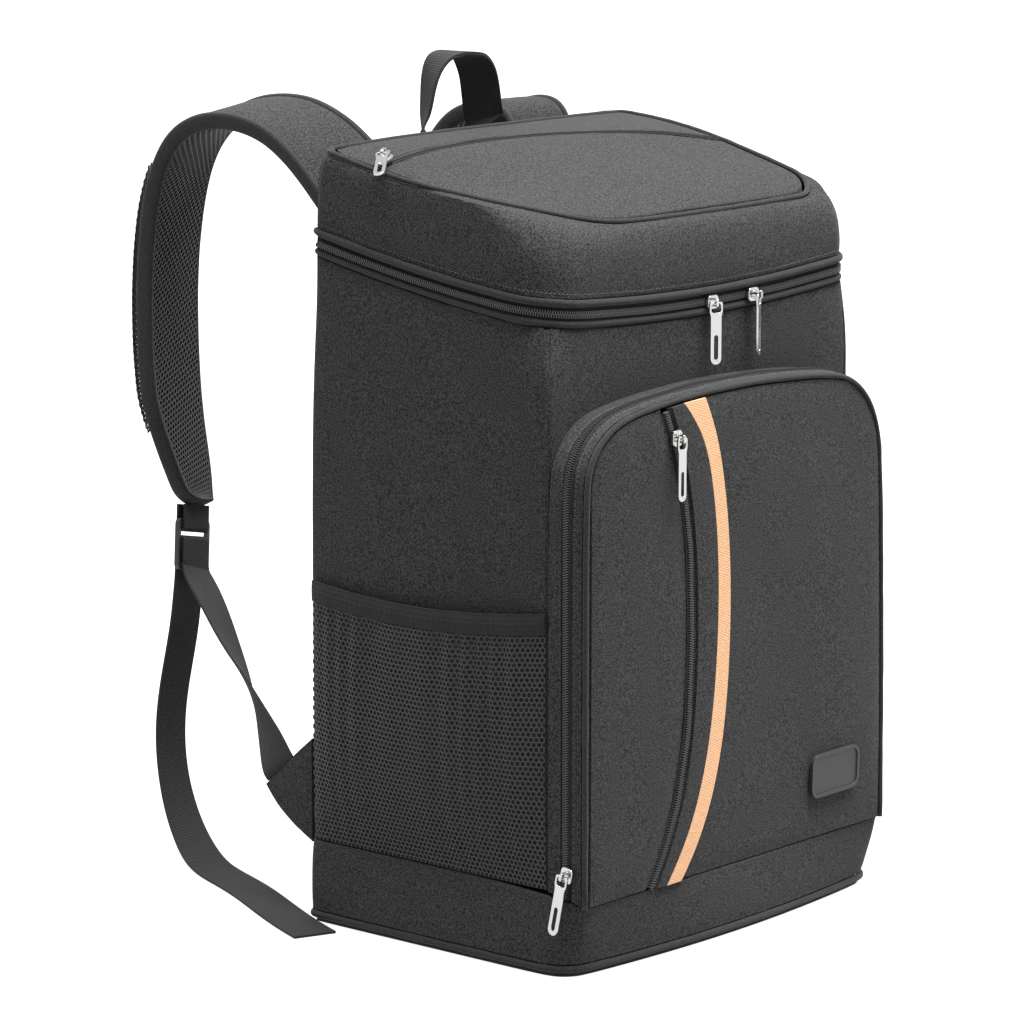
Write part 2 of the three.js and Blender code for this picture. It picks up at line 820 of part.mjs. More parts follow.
// One of the two panels beside the slash; side is -1 for the left and 1 for the right one
function addFacePanel(name, side, columns) {
  const headEnd = slashHead(side * slashHalf, faceInset);
  const corner = side < 0 ? 1 : 4;
  const slashTop = arch(headEnd, faceInset).z;
  const outerEdge = (t) => {
    const spot = arch(side < 0 ? t : 5 - t, faceInset);
    return [spot.x, spot.z];
  };
  const slashEdge = (t) => {
    const z = mix(faceLow, slashTop, t);
    return [slashX(z) + side * slashHalf, z];
  };
  const [left, right] = side < 0 ? [outerEdge, slashEdge] : [slashEdge, outerEdge];
  const [headFrom, headTo] = side < 0 ? [corner, headEnd] : [headEnd, corner];
  const edges = {
    left,
    right,
    foot: (s) => [mix(left(0)[0], right(0)[0], s), faceLow],
    head: (s) => {
      const spot = arch(mix(headFrom, headTo, s), faceInset);
      return [spot.x, spot.z];
    },
  };
  const surface = (drop) => (s, t) => {
    const [x, z] = patchPoint(edges, s, t);
    return vector(x, faceY(x, z) + drop, z);
  };
  addMesh(name, sheetBody(steps(columns), slashRises, surface(0), surface(clothWall)), "fabric");
}

// The widths of the flap and the stripe beside the slash, as shares of their full widths, from the
// slash's foot to its head
const ribbonRows = [
  { at: 0, flap: 0.45, stripe: 1.17 },
  { at: 0.1, flap: 0.68, stripe: 1.17 },
  { at: 0.25, flap: 0.78, stripe: 1.12 },
  { at: 0.4, flap: 0.9, stripe: 1.04 },
  { at: 0.55, flap: 0.98, stripe: 0.97 },
  { at: 0.8, flap: 1.04, stripe: 0.9 },
  { at: 0.93, flap: 1.08, stripe: 1 },
  { at: 1, flap: 0.62, stripe: 1.7 },
];

const flapStart = slashHalf + 2;

function flapOffset(share, rise) {
  return flapStart + share * flapWidth * lookUp(ribbonRows, rise, "flap");
}

function stripeOffset(share, rise) {
  return flapOffset(1, rise) + gap + share * stripeWidth * lookUp(ribbonRows, rise, "stripe");
}

function addRibbon(name, offset, thickness, finish) {
  const surface = (lift) => (share, rise) => {
    const top = arch(slashHead(offset(share, 1), faceInset), faceInset).z;
    const z = mix(faceLow, top, rise);
    const x = slashX(z) + offset(share, rise);
    return vector(x, faceY(x, z) - lift, z);
  };
  const body = sheetBody([0, 0.5, 1], slashRises, surface(gap + thickness), surface(gap));
  addMesh(name, body, finish);
}

function addPocketFace() {
  addFacePanel("pocket_panel_left", -1, 6);
  addFacePanel("pocket_panel_right", 1, 10);
  const slashTop = arch(slashHead(0, faceInset), faceInset).z - 1;
  const zipFrames = slashRises.map((share) => {
    const z = mix(faceLow, slashTop, share);
    return {
      centre: vector(slashX(z), faceY(slashX(z), z) + slashZipSink, z),
      across: vector(1, 0, 0),
      out: vector(0, -1, 0),
    };
  });
  addMesh("slash_zip", bar(zipFrames, zipSection(slashZipWidth)), "zip");
  addRibbon("slash_flap", flapOffset, flapThickness, "fabric");
  addRibbon("orange_stripe", stripeOffset, stripeThickness, "stripe");
}

// A rubber badge with a raised rim and a bare face
function roundedRectangle(width, height, radius, Kind = THREE.Shape) {
  const x = width / 2;
  const y = height / 2;
  const shape = new Kind();
  shape.moveTo(-x + radius, -y);
  shape.lineTo(x - radius, -y);
  shape.absarc(x - radius, -y + radius, radius, -Math.PI / 2, 0, false);
  shape.lineTo(x, y - radius);
  shape.absarc(x - radius, y - radius, radius, 0, Math.PI / 2, false);
  shape.lineTo(-x + radius, y);
  shape.absarc(-x + radius, y - radius, radius, Math.PI / 2, Math.PI, false);
  shape.lineTo(-x, -y + radius);
  shape.absarc(-x + radius, -y + radius, radius, Math.PI, Math.PI * 1.5, false);
  return shape;
}

function addBadge() {
  const plate = new THREE.ExtrudeGeometry(
    roundedRectangle(badgeWidth, badgeHeight, badgeCorner),
    { depth: badgeThickness, bevelEnabled: false, curveSegments: 3 },
  );
  const recess = new THREE.ExtrudeGeometry(
    roundedRectangle(badgeWidth - 2 * badgeRim, badgeHeight - 2 * badgeRim, badgeCorner - badgeRim),
    { depth: badgeThickness, bevelEnabled: false, curveSegments: 3 },
  );
  recess.translate(0, 0, badgeThickness * 0.65);
  const solid = toManifold(plate).subtract(toManifold(recess));
  const mesh = addMesh("badge", fromManifold(solid), "rubber");
  const facePoint = (a, b) => {
    const x = badgeCentreX + (a * badgeWidth) / 2;
    const z = badgeCentreZ + (b * badgeHeight) / 2;
    return vector(x, faceY(x, z), z);
  };
  const across = facePoint(1, 0).sub(facePoint(-1, 0)).normalize();
  const out = across.clone().cross(facePoint(0, 1).sub(facePoint(0, -1))).normalize();
  const up = out.clone().cross(across);
  mesh.quaternion.setFromRotationMatrix(new THREE.Matrix4().makeBasis(across, up, out));
  mesh.position.copy(facePoint(0, 0)).addScaledVector(out, 2 * gap);
}

// The net side pockets and their elastic bands

const netRows = [
  { at: 0, bulge: 0 },
  { at: 0.18, bulge: 0.55 },
  { at: 0.42, bulge: 1 },
  { at: 0.7, bulge: 0.72 },
  { at: 1, bulge: 0.42 },
];

function netOut(across, rise) {
  const span = Math.sin(Math.PI * clamp(across, 0.001, 0.999)) ** 0.4;
  const bulge = netBulge * lookUp(netRows, rise, "bulge") * span;
  const fold = Math.sin(across * netFolds * 2 * Math.PI) * netFoldDepth * rise * span;
  return gap + netThickness + 0.4 + bulge + Math.max(0, fold + netFoldDepth * rise * span) * 0.5;
}

function netSag(across) {
  return 4 * across - 10 * Math.sin(Math.PI * across) * 0.6;
}

function addNetPocket(side, name) {
  const fromY = backY - 1;
  const toY = frontY + 1.5;
  const low = bandSideHeight + gap + 1;
  const columns = steps(16);
  const net = (inner) => (across, rise) => {
    const top = netHeight - netBandHeight + netSag(across);
    const out = netOut(across, rise) - (inner ? netThickness : 0);
    return vector(side * (half + out), mix(fromY, toY, across), mix(low, top, rise));
  };
  addMesh(`${name}_net_pocket`, sheetBody(columns, steps(4), net(false), net(true)), "net");
  const band = (inner) => (across, rise) => {
    const bottom = netHeight - netBandHeight + netSag(across) + gap;
    const rib = rise === 0 || rise === 1 ? 0 : 0.5;
    const out = netOut(across, 1) + 0.4 + rib - (inner ? netThickness + 0.4 + rib : 0);
    const z = bottom + rise * netBandHeight;
    return vector(side * (half + out), mix(fromY, toY, across), z);
  };
  addMesh(`${name}_net_band`, sheetBody(columns, steps(2), band(false), band(true)), "webbing");
}

// Shoulder straps. Each row gives the outer face's two edges: how far behind the back, as a share
// of the strap's reach, how high above its lower end, as a share of its rise, and how far each
// edge lies from the centre line, as a share of half the body's width.
const strapRows = [
  { backA: 0.002, upA: 0.70, backB: 0.002, upB: 0.765, outA: 0.724, outB: 0.318 },
  { backA: 0.155, upA: 0.81, backB: 0.2, upB: 0.915, outA: 0.724, outB: 0.318 },
  { backA: 0.27, upA: 0.89, backB: 0.345, upB: 0.97, outA: 0.724, outB: 0.318 },
  { backA: 0.38, upA: 0.942, backB: 0.43, upB: 0.992, outA: 0.724, outB: 0.318 },
  { backA: 0.5, upA: 0.966, backB: 0.53, upB: 1, outA: 0.724, outB: 0.318 },
  { backA: 0.63, upA: 0.968, backB: 0.665, upB: 0.992, outA: 0.724, outB: 0.318 },
  { backA: 0.745, upA: 0.945, backB: 0.785, upB: 0.96, outA: 0.724, outB: 0.318 },
  { backA: 0.83, upA: 0.9, backB: 0.88, upB: 0.91, outA: 0.724, outB: 0.318 },
  { backA: 0.89, upA: 0.83, backB: 0.95, upB: 0.84, outA: 0.724, outB: 0.318 },
  { backA: 0.935, upA: 0.72, backB: 1.0, upB: 0.73, outA: 0.724, outB: 0.318 },
  { backA: 0.958, upA: 0.58, backB: 1.032, upB: 0.585, outA: 0.724, outB: 0.318 },
  { backA: 0.962, upA: 0.43, backB: 1.038, upB: 0.43, outA: 0.724, outB: 0.318 },
  { backA: 0.948, upA: 0.285, backB: 1.03, upB: 0.28, outA: 0.724, outB: 0.318 },
  { backA: 0.935, upA: 0.19, backB: 1.01, upB: 0.165, outA: 0.68, outB: 0.318 },
  { backA: 0.935, upA: 0.1, backB: 0.985, upB: 0.07, outA: 0.6, outB: 0.315 },
  { backA: 0.945, upA: 0.02, backB: 0.965, upB: 0, outA: 0.515, outB: 0.335 },
];

// The right strap climbs straight up the back and bends over sharply
const rightStrapRows = [
  { backA: 0.106, upA: 0.75, backB: 0.106, upB: 0.75, outA: 0.8, outB: 0.4 },
  { backA: 0.108, upA: 0.87, backB: 0.108, upB: 0.87, outA: 0.8, outB: 0.4 },
  { backA: 0.14, upA: 0.948, backB: 0.14, upB: 0.948, outA: 0.8, outB: 0.4 },
  { backA: 0.2, upA: 0.985, backB: 0.2, upB: 0.985, outA: 0.8, outB: 0.4 },
  { backA: 0.33, upA: 1, backB: 0.33, upB: 1, outA: 0.8, outB: 0.4 },
  { backA: 0.5, upA: 0.989, backB: 0.5, upB: 0.993, outA: 0.8, outB: 0.4 },
  { backA: 0.66, upA: 0.96, backB: 0.67, upB: 0.968, outA: 0.8, outB: 0.4 },
  { backA: 0.81, upA: 0.905, backB: 0.83, upB: 0.905, outA: 0.8, outB: 0.4 },
  { backA: 0.92, upA: 0.815, backB: 0.94, upB: 0.815, outA: 0.8, outB: 0.4 },
  { backA: 0.98, upA: 0.68, backB: 1.0, upB: 0.68, outA: 0.8, outB: 0.4 },
  { backA: 0.99, upA: 0.52, backB: 1.02, upB: 0.52, outA: 0.8, outB: 0.4 },
  { backA: 0.975, upA: 0.35, backB: 1.0, upB: 0.35, outA: 0.79, outB: 0.4 },
  { backA: 0.95, upA: 0.2, backB: 0.97, upB: 0.19, outA: 0.74, outB: 0.405 },
  { backA: 0.935, upA: 0.09, backB: 0.95, upB: 0.08, outA: 0.67, outB: 0.42 },
  { backA: 0.93, upA: 0.01, backB: 0.94, upB: 0, outA: 0.61, outB: 0.43 },
];

function strapShape(side) {
  return side < 0
    ? { rows: strapRows, reach: strapReach, rise: strapRise }
    : { rows: rightStrapRows, reach: rightStrapReach, rise: rightStrapRise };
}

function strapEdges(side) {
  const { rows, reach, rise } = strapShape(side);
  const point = (out, back, up) => {
    return vector(side * half * out, backY + reach * back, strapLow + rise * up);
  };
  const edgeA = rows.map((row) => point(row.outA, row.backA, row.upA));
  const edgeB = rows.map((row) => point(row.outB, row.backB, row.upB));
  return [edgeA, edgeB].map((points) => new THREE.CatmullRomCurve3(points, false, "centripetal"));
}

function strapFrames(side, count) {
  const [edgeA, edgeB] = strapEdges(side);
  return steps(count).map((t) => {
    const a = edgeA.getPoint(t);
    const b = edgeB.getPoint(t);
    const across = b.clone().sub(a);
    const width = across.length();
    across.normalize();
    const along = edgeA.getTangent(t).add(edgeB.getTangent(t)).normalize();
    const out = across.clone().cross(along).normalize();
    if (side > 0) out.negate();
    return { centre: a.add(b).multiplyScalar(0.5), across, out, width };
  });
}

function padSection(width, outer, inner) {
  const w = width / 2;
  const edge = Math.min(padEdge, width / 4);
  const middle = (outer + inner) / 2;
  return [
    [-w + edge, inner], [w - edge, inner], [w, middle],
    [w - edge, outer], [-w + edge, outer], [-w, middle],
  ];
}

function addStrap(side, name) {
  const frames = strapFrames(side, 20);
  const layer = (outer, inner) => {
    const sections = frames.map((frame) => ({
      ...frame,
      section: padSection(frame.width, outer, inner),
    }));
    return bar(sections, sections[0].section);
  };
  addMesh(`${name}_strap_pad`, layer(0, -padThickness), "fabric");
  const meshOuter = -padThickness - gap;
  addMesh(`${name}_strap_mesh`, layer(meshOuter, meshOuter - padMeshThickness), "net");
}

// The net sleeve on the outer face of the left strap
function addStrapSleeve() {
  const frames = strapFrames(-1, 30).slice(sleeveFrom, sleeveTo);
  const last = frames.length - 1;
  const surface = (thickness) => (index, share) => {
    const frame = frames[index];
    const swell = Math.sin((Math.PI * clamp(index, 0.02, last - 0.02)) / last) ** 0.4;
    const dome = Math.sin(Math.PI * clamp(share, 0.002, 0.998)) ** 0.4;
    const point = frame.centre.clone();
    point.addScaledVector(frame.across, (share - 0.5) * frame.width);
    return point.addScaledVector(frame.out, gap + thickness + sleeveSwell * swell * dome);
  };
  const columns = frames.map((_, index) => index);
  const body = sheetBody(columns, steps(5), surface(netThickness), surface(0));
  addMesh("strap_sleeve", body, "net");
}

// Webbing: a flat bar along chosen points, each with its own direction across
function webFrames(points, count) {
  const line = new THREE.CatmullRomCurve3(points.map((row) => row.at), false, "centripetal");
  const sides = new THREE.CatmullRomCurve3(points.map((row) => row.across), false, "centripetal");
  return steps(count).map((t) => {
    const along = line.getTangent(t);
    const across = sides.getPoint(t);
    across.addScaledVector(along, -across.dot(along)).normalize();
    const out = across.clone().cross(along).normalize();
    return { centre: line.getPoint(t), across, out };
  });
}

// Ladder lock: a plate with two slots, hung below the strap's end. Its own axes are across the
// webbing, up towards the strap and out, away from the bag.
const slotCentre = lockMiddleBar / 2 + lockSlot / 2;
const wrapRadius = lockThickness / 2 + gap + webThickness / 2;

function lockFrame(side) {
  const frames = strapFrames(side, 20);
  const end = frames[frames.length - 1];
  const across = end.across.clone().multiplyScalar(side < 0 ? 1 : -1);
  const up = across.clone().cross(end.out).normalize();
  const out = end.out.clone();
  const centre = end.centre.clone().addScaledVector(out, -padThickness / 2);
  centre.addScaledVector(up, -lockDrop);
  return { centre, across, up, out };
}

function lockPoint(frame, up, out) {
  return frame.centre.clone().addScaledVector(frame.up, up).addScaledVector(frame.out, out);
}

function addLock(frame, name) {
  const shape = roundedRectangle(lockWidth, lockHeight, 4);
  for (const row of [1, -1]) {
    const slot = roundedRectangle(webWidth + 1.6, lockSlot, 1.2);
    const points = slot.getPoints(1).map((point) => {
      return new THREE.Vector2(point.x, point.y + row * slotCentre);
    });
    shape.holes.push(new THREE.Path(points));
  }
  const options = { depth: lockThickness, bevelEnabled: false, curveSegments: 3 };
  const geometry = new THREE.ExtrudeGeometry(shape, options);
  geometry.translate(0, 0, -lockThickness / 2);
  const mesh = addMesh(`${name}_ladder_lock`, geometry, "plastic");
  const normal = frame.across.clone().cross(frame.up);
  const basis = new THREE.Matrix4().makeBasis(frame.across, frame.up, normal);
  mesh.quaternion.setFromRotationMatrix(basis);
  mesh.position.copy(frame.centre);
}

// The turn of a strap round one of the lock's bars, from the inner side to the outer one
function wrap(frame, centre, above) {
  return steps(6).map((share) => {
    const angle = Math.PI * (1 - share);
    const lift = above * Math.sin(angle) * wrapRadius;
    return { at: lockPoint(frame, centre + lift, Math.cos(angle) * wrapRadius), across: frame.across };
  });
}

function addStrapEnd(frame, name) {
  const top = lockDrop - gap - 0.6;
  const barFoot = slotCentre + lockSlot / 2;
  const turn = wrap(frame, barFoot - 0.3, -1);
  const points = [
    { at: lockPoint(frame, top, -wrapRadius), across: frame.across },
    ...turn,
    { at: lockPoint(frame, top, wrapRadius), across: frame.across },
  ];
  const section = boxSection(webWidth - 1, webThickness);
  addMesh(`${name}_strap_end`, bar(webFrames(points, 14), section), "webbing");
}

// The adjusting webbing: from the tab on the back seam up to the lock, round its middle bar, and
// down again as a free tail that ends on the ground. The tail's points are chosen by hand.
const tabX = half - 4;
const tabLean = 0.05;
const tabCorners = [
  { back: 5, up: 114 },
  { back: 22, up: 100.5 },
  { back: 47, up: 78 },
  { back: 37, up: 66 },
  { back: 20, up: 55 },
  { back: 5, up: 48 },
];
const tabMiddle = { back: 34.5, up: 89.25 };
const tabCut = vector(0, 0.743, -0.669);

// The webbing's way from the tab to the lock: shares of the straight way, how far it hangs below
// that, and how much of the turn from the tab's plane to the lock's is done.
const webRows = [
  { share: 0.17, sag: -1, turn: 0.26 },
  { share: 0.31, sag: -5, turn: 0.5 },
  { share: 0.45, sag: -5.5, turn: 0.67 },
  { share: 0.6, sag: -5, turn: 0.82 },
  { share: 0.76, sag: -6, turn: 0.93 },
  { share: 0.9, sag: -5, turn: 1 },
];

const leftTail = [
  { at: [-66, 301, 147], across: [1, 0.05, 0] },
  { at: [-72, 306, 109], across: [1, 0.05, 0] },
  { at: [-79, 304, 71], across: [1, 0.08, 0] },
  { at: [-86, 290, 35], across: [1, 0.1, 0] },
  { at: [-97, 264, 11], across: [1, -0.05, 0] },
  { at: [-107, 240, 2.2], across: [0.97, -0.2, 0] },
  { at: [-115, 216, 1], across: [0.94, -0.32, 0] },
  { at: [-129, 182, 1], across: [0.92, -0.4, 0] },
  { at: [-148, 145, 1], across: [0.91, -0.42, 0] },
  { at: [-165, 111, 1], across: [0.91, -0.42, 0] },
  { at: [-177, 82, 1], across: [0.92, -0.4, 0] },
];

const rightTail = [
  { at: [82, 209, 137], across: [-1, 0.05, 0] },
  { at: [84, 210, 93], across: [-1, 0.05, 0] },
  { at: [88, 208, 53], across: [-1, 0.08, 0] },
  { at: [94, 203, 22], across: [-1, 0.1, 0] },
  { at: [104, 196, 8], across: [-0.95, -0.3, 0] },
  { at: [118, 191, 2.6], across: [-0.7, -0.7, 0] },
  { at: [140, 186, 1.3], across: [-0.35, -0.93, 0] },
  { at: [175, 176, 1], across: [-0.25, -0.97, 0] },
  { at: [212, 165, 1], across: [-0.28, -0.96, 0] },
  { at: [248, 152, 1], across: [-0.32, -0.95, 0] },
];

function addAdjuster(frame, side, name, tail) {
  const cutOut = vector(-side * tabLean * tabCut.z, -tabCut.z, tabCut.y).normalize();
  const start = vector(side * (tabX - tabMiddle.back * tabLean), backY + tabMiddle.back, tabMiddle.up);
  start.addScaledVector(cutOut, 2 * gap);
  const inner = lockPoint(frame, -lockHeight / 2 - 6, -wrapRadius - 2.6);
  const reach = inner.clone().sub(start);
  const twist = frame.across.clone();
  if (twist.x < 0) twist.negate();
  const way = webRows.map(({ share, sag, turn }) => ({
    at: start.clone().addScaledVector(reach, share).add(vector(0, 0, -sag)),
    across: tabCut.clone().multiplyScalar(1 - turn).addScaledVector(twist, turn),
  }));
  const points = [
    { at: start, across: tabCut },
    { at: start.clone().addScaledVector(cutOut, 6), across: tabCut },
    ...way,
    { at: lockPoint(frame, -lockHeight / 2 + 1, -wrapRadius - 0.8), across: twist },
    { at: lockPoint(frame, -lockHeight / 2 + 8, -wrapRadius - 0.2), across: twist },
    { at: lockPoint(frame, -lockMiddleBar / 2, -wrapRadius), across: twist },
    ...wrap(frame, lockMiddleBar / 2 - 0.3, 1).map((row) => ({ at: row.at, across: twist })),
    { at: lockPoint(frame, -lockMiddleBar / 2, wrapRadius), across: twist },
    { at: lockPoint(frame, -lockHeight / 2 - 2, wrapRadius), across: twist },
    { at: lockPoint(frame, -lockHeight / 2 - 12, wrapRadius + 0.6), across: twist },
    ...tail.map((row) => ({
      at: vector(...row.at),
      across: vector(...row.across).multiplyScalar(Math.sign(row.across[0])),
    })),
  ];
  const section = boxSection(webWidth, webThickness);
  addMesh(`${name}_adjuster`, bar(webFrames(points, webSteps), section), "webbing");
}

// The cloth tab that joins the adjusting webbing to the back seam
function addTab(side, name) {
  const shape = new THREE.Shape(tabCorners.map((row) => new THREE.Vector2(row.back, row.up)));
  const geometry = new THREE.ExtrudeGeometry(shape, { depth: tabThickness, bevelEnabled: false });
  geometry.translate(0, 0, -tabThickness / 2);
  const along = vector(-side * tabLean, 1, 0).normalize();
  const up = vector(0, 0, 1);
  const mesh = addMesh(`${name}_tab`, geometry, "fabric");
  mesh.quaternion.setFromRotationMatrix(new THREE.Matrix4().makeBasis(along, up, along.clone().cross(up)));
  mesh.position.set(side * tabX, backY + 2 * gap, 0);
}

// The grab handle: a loop of webbing, sewn flat to the back and twisted a quarter turn up to its top.
// Each row is half of it: out from its middle as a share of half its span, behind the back, down
// from its top, and the webbing's turn in degrees.
const handleRows = [
  { out: 1.1, behind: 0.8, down: 69, turn: 0 },
  { out: 1.08, behind: 4.6, down: 57, turn: 16 },
  { out: 1.02, behind: 12, down: 44, turn: 48 },
  { out: 0.94, behind: 12.5, down: 32, turn: 56 },
  { out: 0.82, behind: 12.5, down: 15, turn: 62 },
  { out: 0.55, behind: 12.5, down: 4, turn: 72 },
  { out: 0.22, behind: 12.5, down: 0.3, turn: 86 },
];

function addHandle() {
  const leg = (side) => handleRows.map((row) => ({
    at: vector(handleMiddle + (side * row.out * handleSpan) / 2, backY + row.behind, handleTop - row.down),
    turn: side < 0 ? row.turn : 180 - row.turn,
  }));
  const rows = [...leg(-1), ...leg(1).reverse()];
  const line = new THREE.CatmullRomCurve3(rows.map((row) => row.at), false, "centripetal");
  const count = 2 * (rows.length - 1);
  const frames = steps(count).map((share, index) => {
    const [from, to] = [rows[Math.floor(index / 2)], rows[Math.ceil(index / 2)]];
    const turn = THREE.MathUtils.degToRad((from.turn + to.turn) / 2);
    const along = line.getTangent(share);
    const across = vector(Math.cos(turn), Math.sin(turn), 0);
    across.addScaledVector(along, -across.dot(along)).normalize();
    return { centre: line.getPoint(share), across, out: across.clone().cross(along).normalize() };
  });
  addMesh("handle", bar(frames, boxSection(handleWidth, handleThickness)), "webbing");
}

// Zip sliders and pull tabs. A slider's own axes are across, up and out. Its staple is a small
// bridge that stands along up, and the bar at the top of the tab's eye turns under it.

function sliderSolid(alongZip, turn) {
  const wide = alongZip === "across" ? sliderLength : sliderWidth;
  const tall = alongZip === "across" ? sliderWidth : sliderLength;
  const plate = new THREE.ExtrudeGeometry(roundedRectangle(wide, tall, sliderCorner), {
    depth: sliderThickness,
    bevelEnabled: false,
    curveSegments: 1,
  });
  const s = stapleHalf;
  const top = stapleWindow + stapleWire;
  const foot = -sliderThickness / 3;
  const inner = s - stapleWire;
  const chamfer = stapleWire / 2;
  const bridge = new THREE.Shape([
    [-s, foot], [-inner, foot], [-inner, stapleWindow], [inner, stapleWindow], [inner, foot],
    [s, foot], [s, top - chamfer], [s - chamfer, top], [-s + chamfer, top], [-s, top - chamfer],
  ].map(([x, y]) => new THREE.Vector2(x, y)));
  const staple = new THREE.ExtrudeGeometry(bridge, { depth: stapleWidth, bevelEnabled: false });
  staple.translate(0, 0, -stapleWidth / 2);
  staple.applyMatrix4(new THREE.Matrix4().makeBasis(vector(0, 1, 0), vector(0, 0, 1), vector(1, 0, 0)));
  staple.rotateY(turn);
  staple.translate(0, 0, sliderThickness);
  return fromManifold(toManifold(plate).add(toManifold(staple)));
}

// A flat tab: an eye, a shoulder and a long tail with a slot
function pullTab() {
  const eye = tabEyeWidth / 2;
  const tail = tabTailWidth / 2;
  const top = tabEyeWall / 2;
  const shape = new THREE.Shape();
  shape.moveTo(-eye + tabCorner, top);
  shape.quadraticCurveTo(-eye, top, -eye, top - tabCorner);
  shape.lineTo(-eye, -tabShoulder);
  shape.lineTo(-tail, -tabShoulder - tabSlope);
  shape.lineTo(-tail, -tabLength + tail);
  shape.absarc(0, -tabLength + tail, tail, Math.PI, Math.PI * 2, false);
  shape.lineTo(tail, -tabShoulder - tabSlope);
  shape.lineTo(eye, -tabShoulder);
  shape.lineTo(eye, top - tabCorner);
  shape.quadraticCurveTo(eye, top, eye - tabCorner, top);
  const hole = (width, height, corner, middle, segments) => {
    const outlinePath = roundedRectangle(width, height, corner, THREE.Path);
    return new THREE.Path(outlinePath.getPoints(segments).map((point) => {
      return new THREE.Vector2(point.x, point.y + middle);
    }));
  };
  const ringWidth = tabEyeWidth - 2 * tabEyeWall;
  const slotMiddle = -tabLength + tabSlotLength / 2 + tabSlotFoot;
  shape.holes.push(
    hole(ringWidth, tabEyeHeight, tabCorner, -top - tabEyeHeight / 2, 1),
    hole(tabSlotWidth, tabSlotLength, tabSlotWidth / 2 - 0.01, slotMiddle, 2),
  );
  const options = { depth: tabPlate, bevelEnabled: false, curveSegments: 3 };
  const geometry = new THREE.ExtrudeGeometry(shape, options);
  geometry.translate(0, 0, -tabPlate / 2);
  return geometry;
}

// Places a slider and its tab: spot is the point of the coil under the slider's middle. In degrees,
// turn is how far the staple and the tab lean round the slider's up axis, and swivel how far the tab
// turns in its own plane.
function addSlider(name, spot, up, out, alongZip, turn = 0, swivel = 0) {
  const seat = new THREE.Group();
  const across = up.clone().cross(out).normalize();
  const straightUp = out.clone().cross(across).normalize();
  seat.quaternion.setFromRotationMatrix(new THREE.Matrix4().makeBasis(across, straightUp, out));
  seat.position.copy(spot).addScaledVector(out, gap);
  model.add(seat);
  const lean = THREE.MathUtils.degToRad(turn);
  addMesh(`${name}_slider`, sliderSolid(alongZip, lean), "metal", seat);
  const tab = addMesh(`${name}_pull`, pullTab(), "metal", seat);
  tab.position.set(Math.sin(lean) * tabPivot, 0, sliderThickness + Math.cos(lean) * tabPivot);
  tab.rotation.set(0, lean, THREE.MathUtils.degToRad(swivel));
}

function addSliders() {
  const coilOut = zipTapeThickness / 2 + coilHeight;
  const lidSliders = [
    { name: "lid_left", x: lidSliderLeft, turn: leftPullTurn },
    { name: "lid_right", x: lidSliderRight, turn: rightPullTurn },
  ];
  for (const { name, x, turn } of lidSliders) {
    const spot = vector(x, frontY + lidZipInset - coilOut, zipLevel(x, frontY));
    addSlider(name, spot, vector(0, 0, 1), vector(0, -1, 0), "across", turn);
  }
  const side = -pocketWidth / 2 - coilHeight / 2;
  const tilt = (pocketTabTilt * Math.PI) / 180;
  const pocketUp = vector(0, -Math.sin(tilt), Math.cos(tilt));
  const pocketSpot = vector(side, pocketZipY - pocketSliderShift, pocketSliderHeight);
  addSlider("pocket", pocketSpot, pocketUp, vector(-1, 0, 0), "up");
  const slashZ = pocketHeight - slashSliderDrop;
  const slashY = faceY(slashX(slashZ), slashZ) + slashZipSink - coilOut;
  addSlider("slash", vector(slashX(slashZ), slashY, slashZ), vector(0, 0, 1), vector(0, -1, 0), "up");
  const topX = -lidSeamPlan.half + topSliderInset;
  const topY = lidZipY(topX);
  const alongTop = vector(1, 0.12, 0.3).normalize();
  const topOut = vector(-0.3, 0, 0.95).normalize();
  const topZ = lidTopLevel(topX, topY) + lidTopRaise + 1;
  addSlider("top", vector(topX, topY, topZ), alongTop, topOut, "up", 0, topPullSwivel);
}

addBase();
addWalls();
addFrontPanel();
addLidZip();
addLid();
addPocketEdge();
addPocketFace();
addBadge();
addNetPocket(-1, "left");
addNetPocket(1, "right");
for (const [side, name, tail] of [[-1, "left", leftTail], [1, "right", rightTail]]) {
  addStrap(side, name);
  const frame = lockFrame(side);
  addLock(frame, name);
  addStrapEnd(frame, name);
  addAdjuster(frame, side, name, tail);
  addTab(side, name);
}
addStrapSleeve();
addHandle();
addSliders();

export default model;
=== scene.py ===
"""Looks of a cooler backpack, in metres, in the frame of its solid model.

Cloth panels are the solids smoothed and given seams, puckers and slack. Zips get their coils, the
nets get their strands, and the straps are rebuilt from their own edges.
"""

import itertools
import math

import bmesh
import bpy
import numpy as np
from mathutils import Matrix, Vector
from mathutils.bvhtree import BVHTree
from mathutils.kdtree import KDTree


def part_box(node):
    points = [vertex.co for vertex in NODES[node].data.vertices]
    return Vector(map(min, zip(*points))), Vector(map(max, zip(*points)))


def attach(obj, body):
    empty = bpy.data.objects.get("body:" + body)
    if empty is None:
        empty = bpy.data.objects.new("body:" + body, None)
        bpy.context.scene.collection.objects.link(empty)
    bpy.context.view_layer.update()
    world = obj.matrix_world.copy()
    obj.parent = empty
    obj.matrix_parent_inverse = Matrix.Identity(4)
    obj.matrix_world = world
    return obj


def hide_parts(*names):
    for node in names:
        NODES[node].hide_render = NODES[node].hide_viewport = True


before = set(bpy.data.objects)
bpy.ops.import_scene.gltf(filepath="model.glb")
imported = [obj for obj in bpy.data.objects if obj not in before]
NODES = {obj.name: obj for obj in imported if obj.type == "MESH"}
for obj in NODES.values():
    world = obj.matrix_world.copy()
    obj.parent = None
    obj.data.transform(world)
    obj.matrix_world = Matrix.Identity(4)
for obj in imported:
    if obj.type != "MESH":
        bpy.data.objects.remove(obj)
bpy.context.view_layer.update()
scene = bpy.context.scene

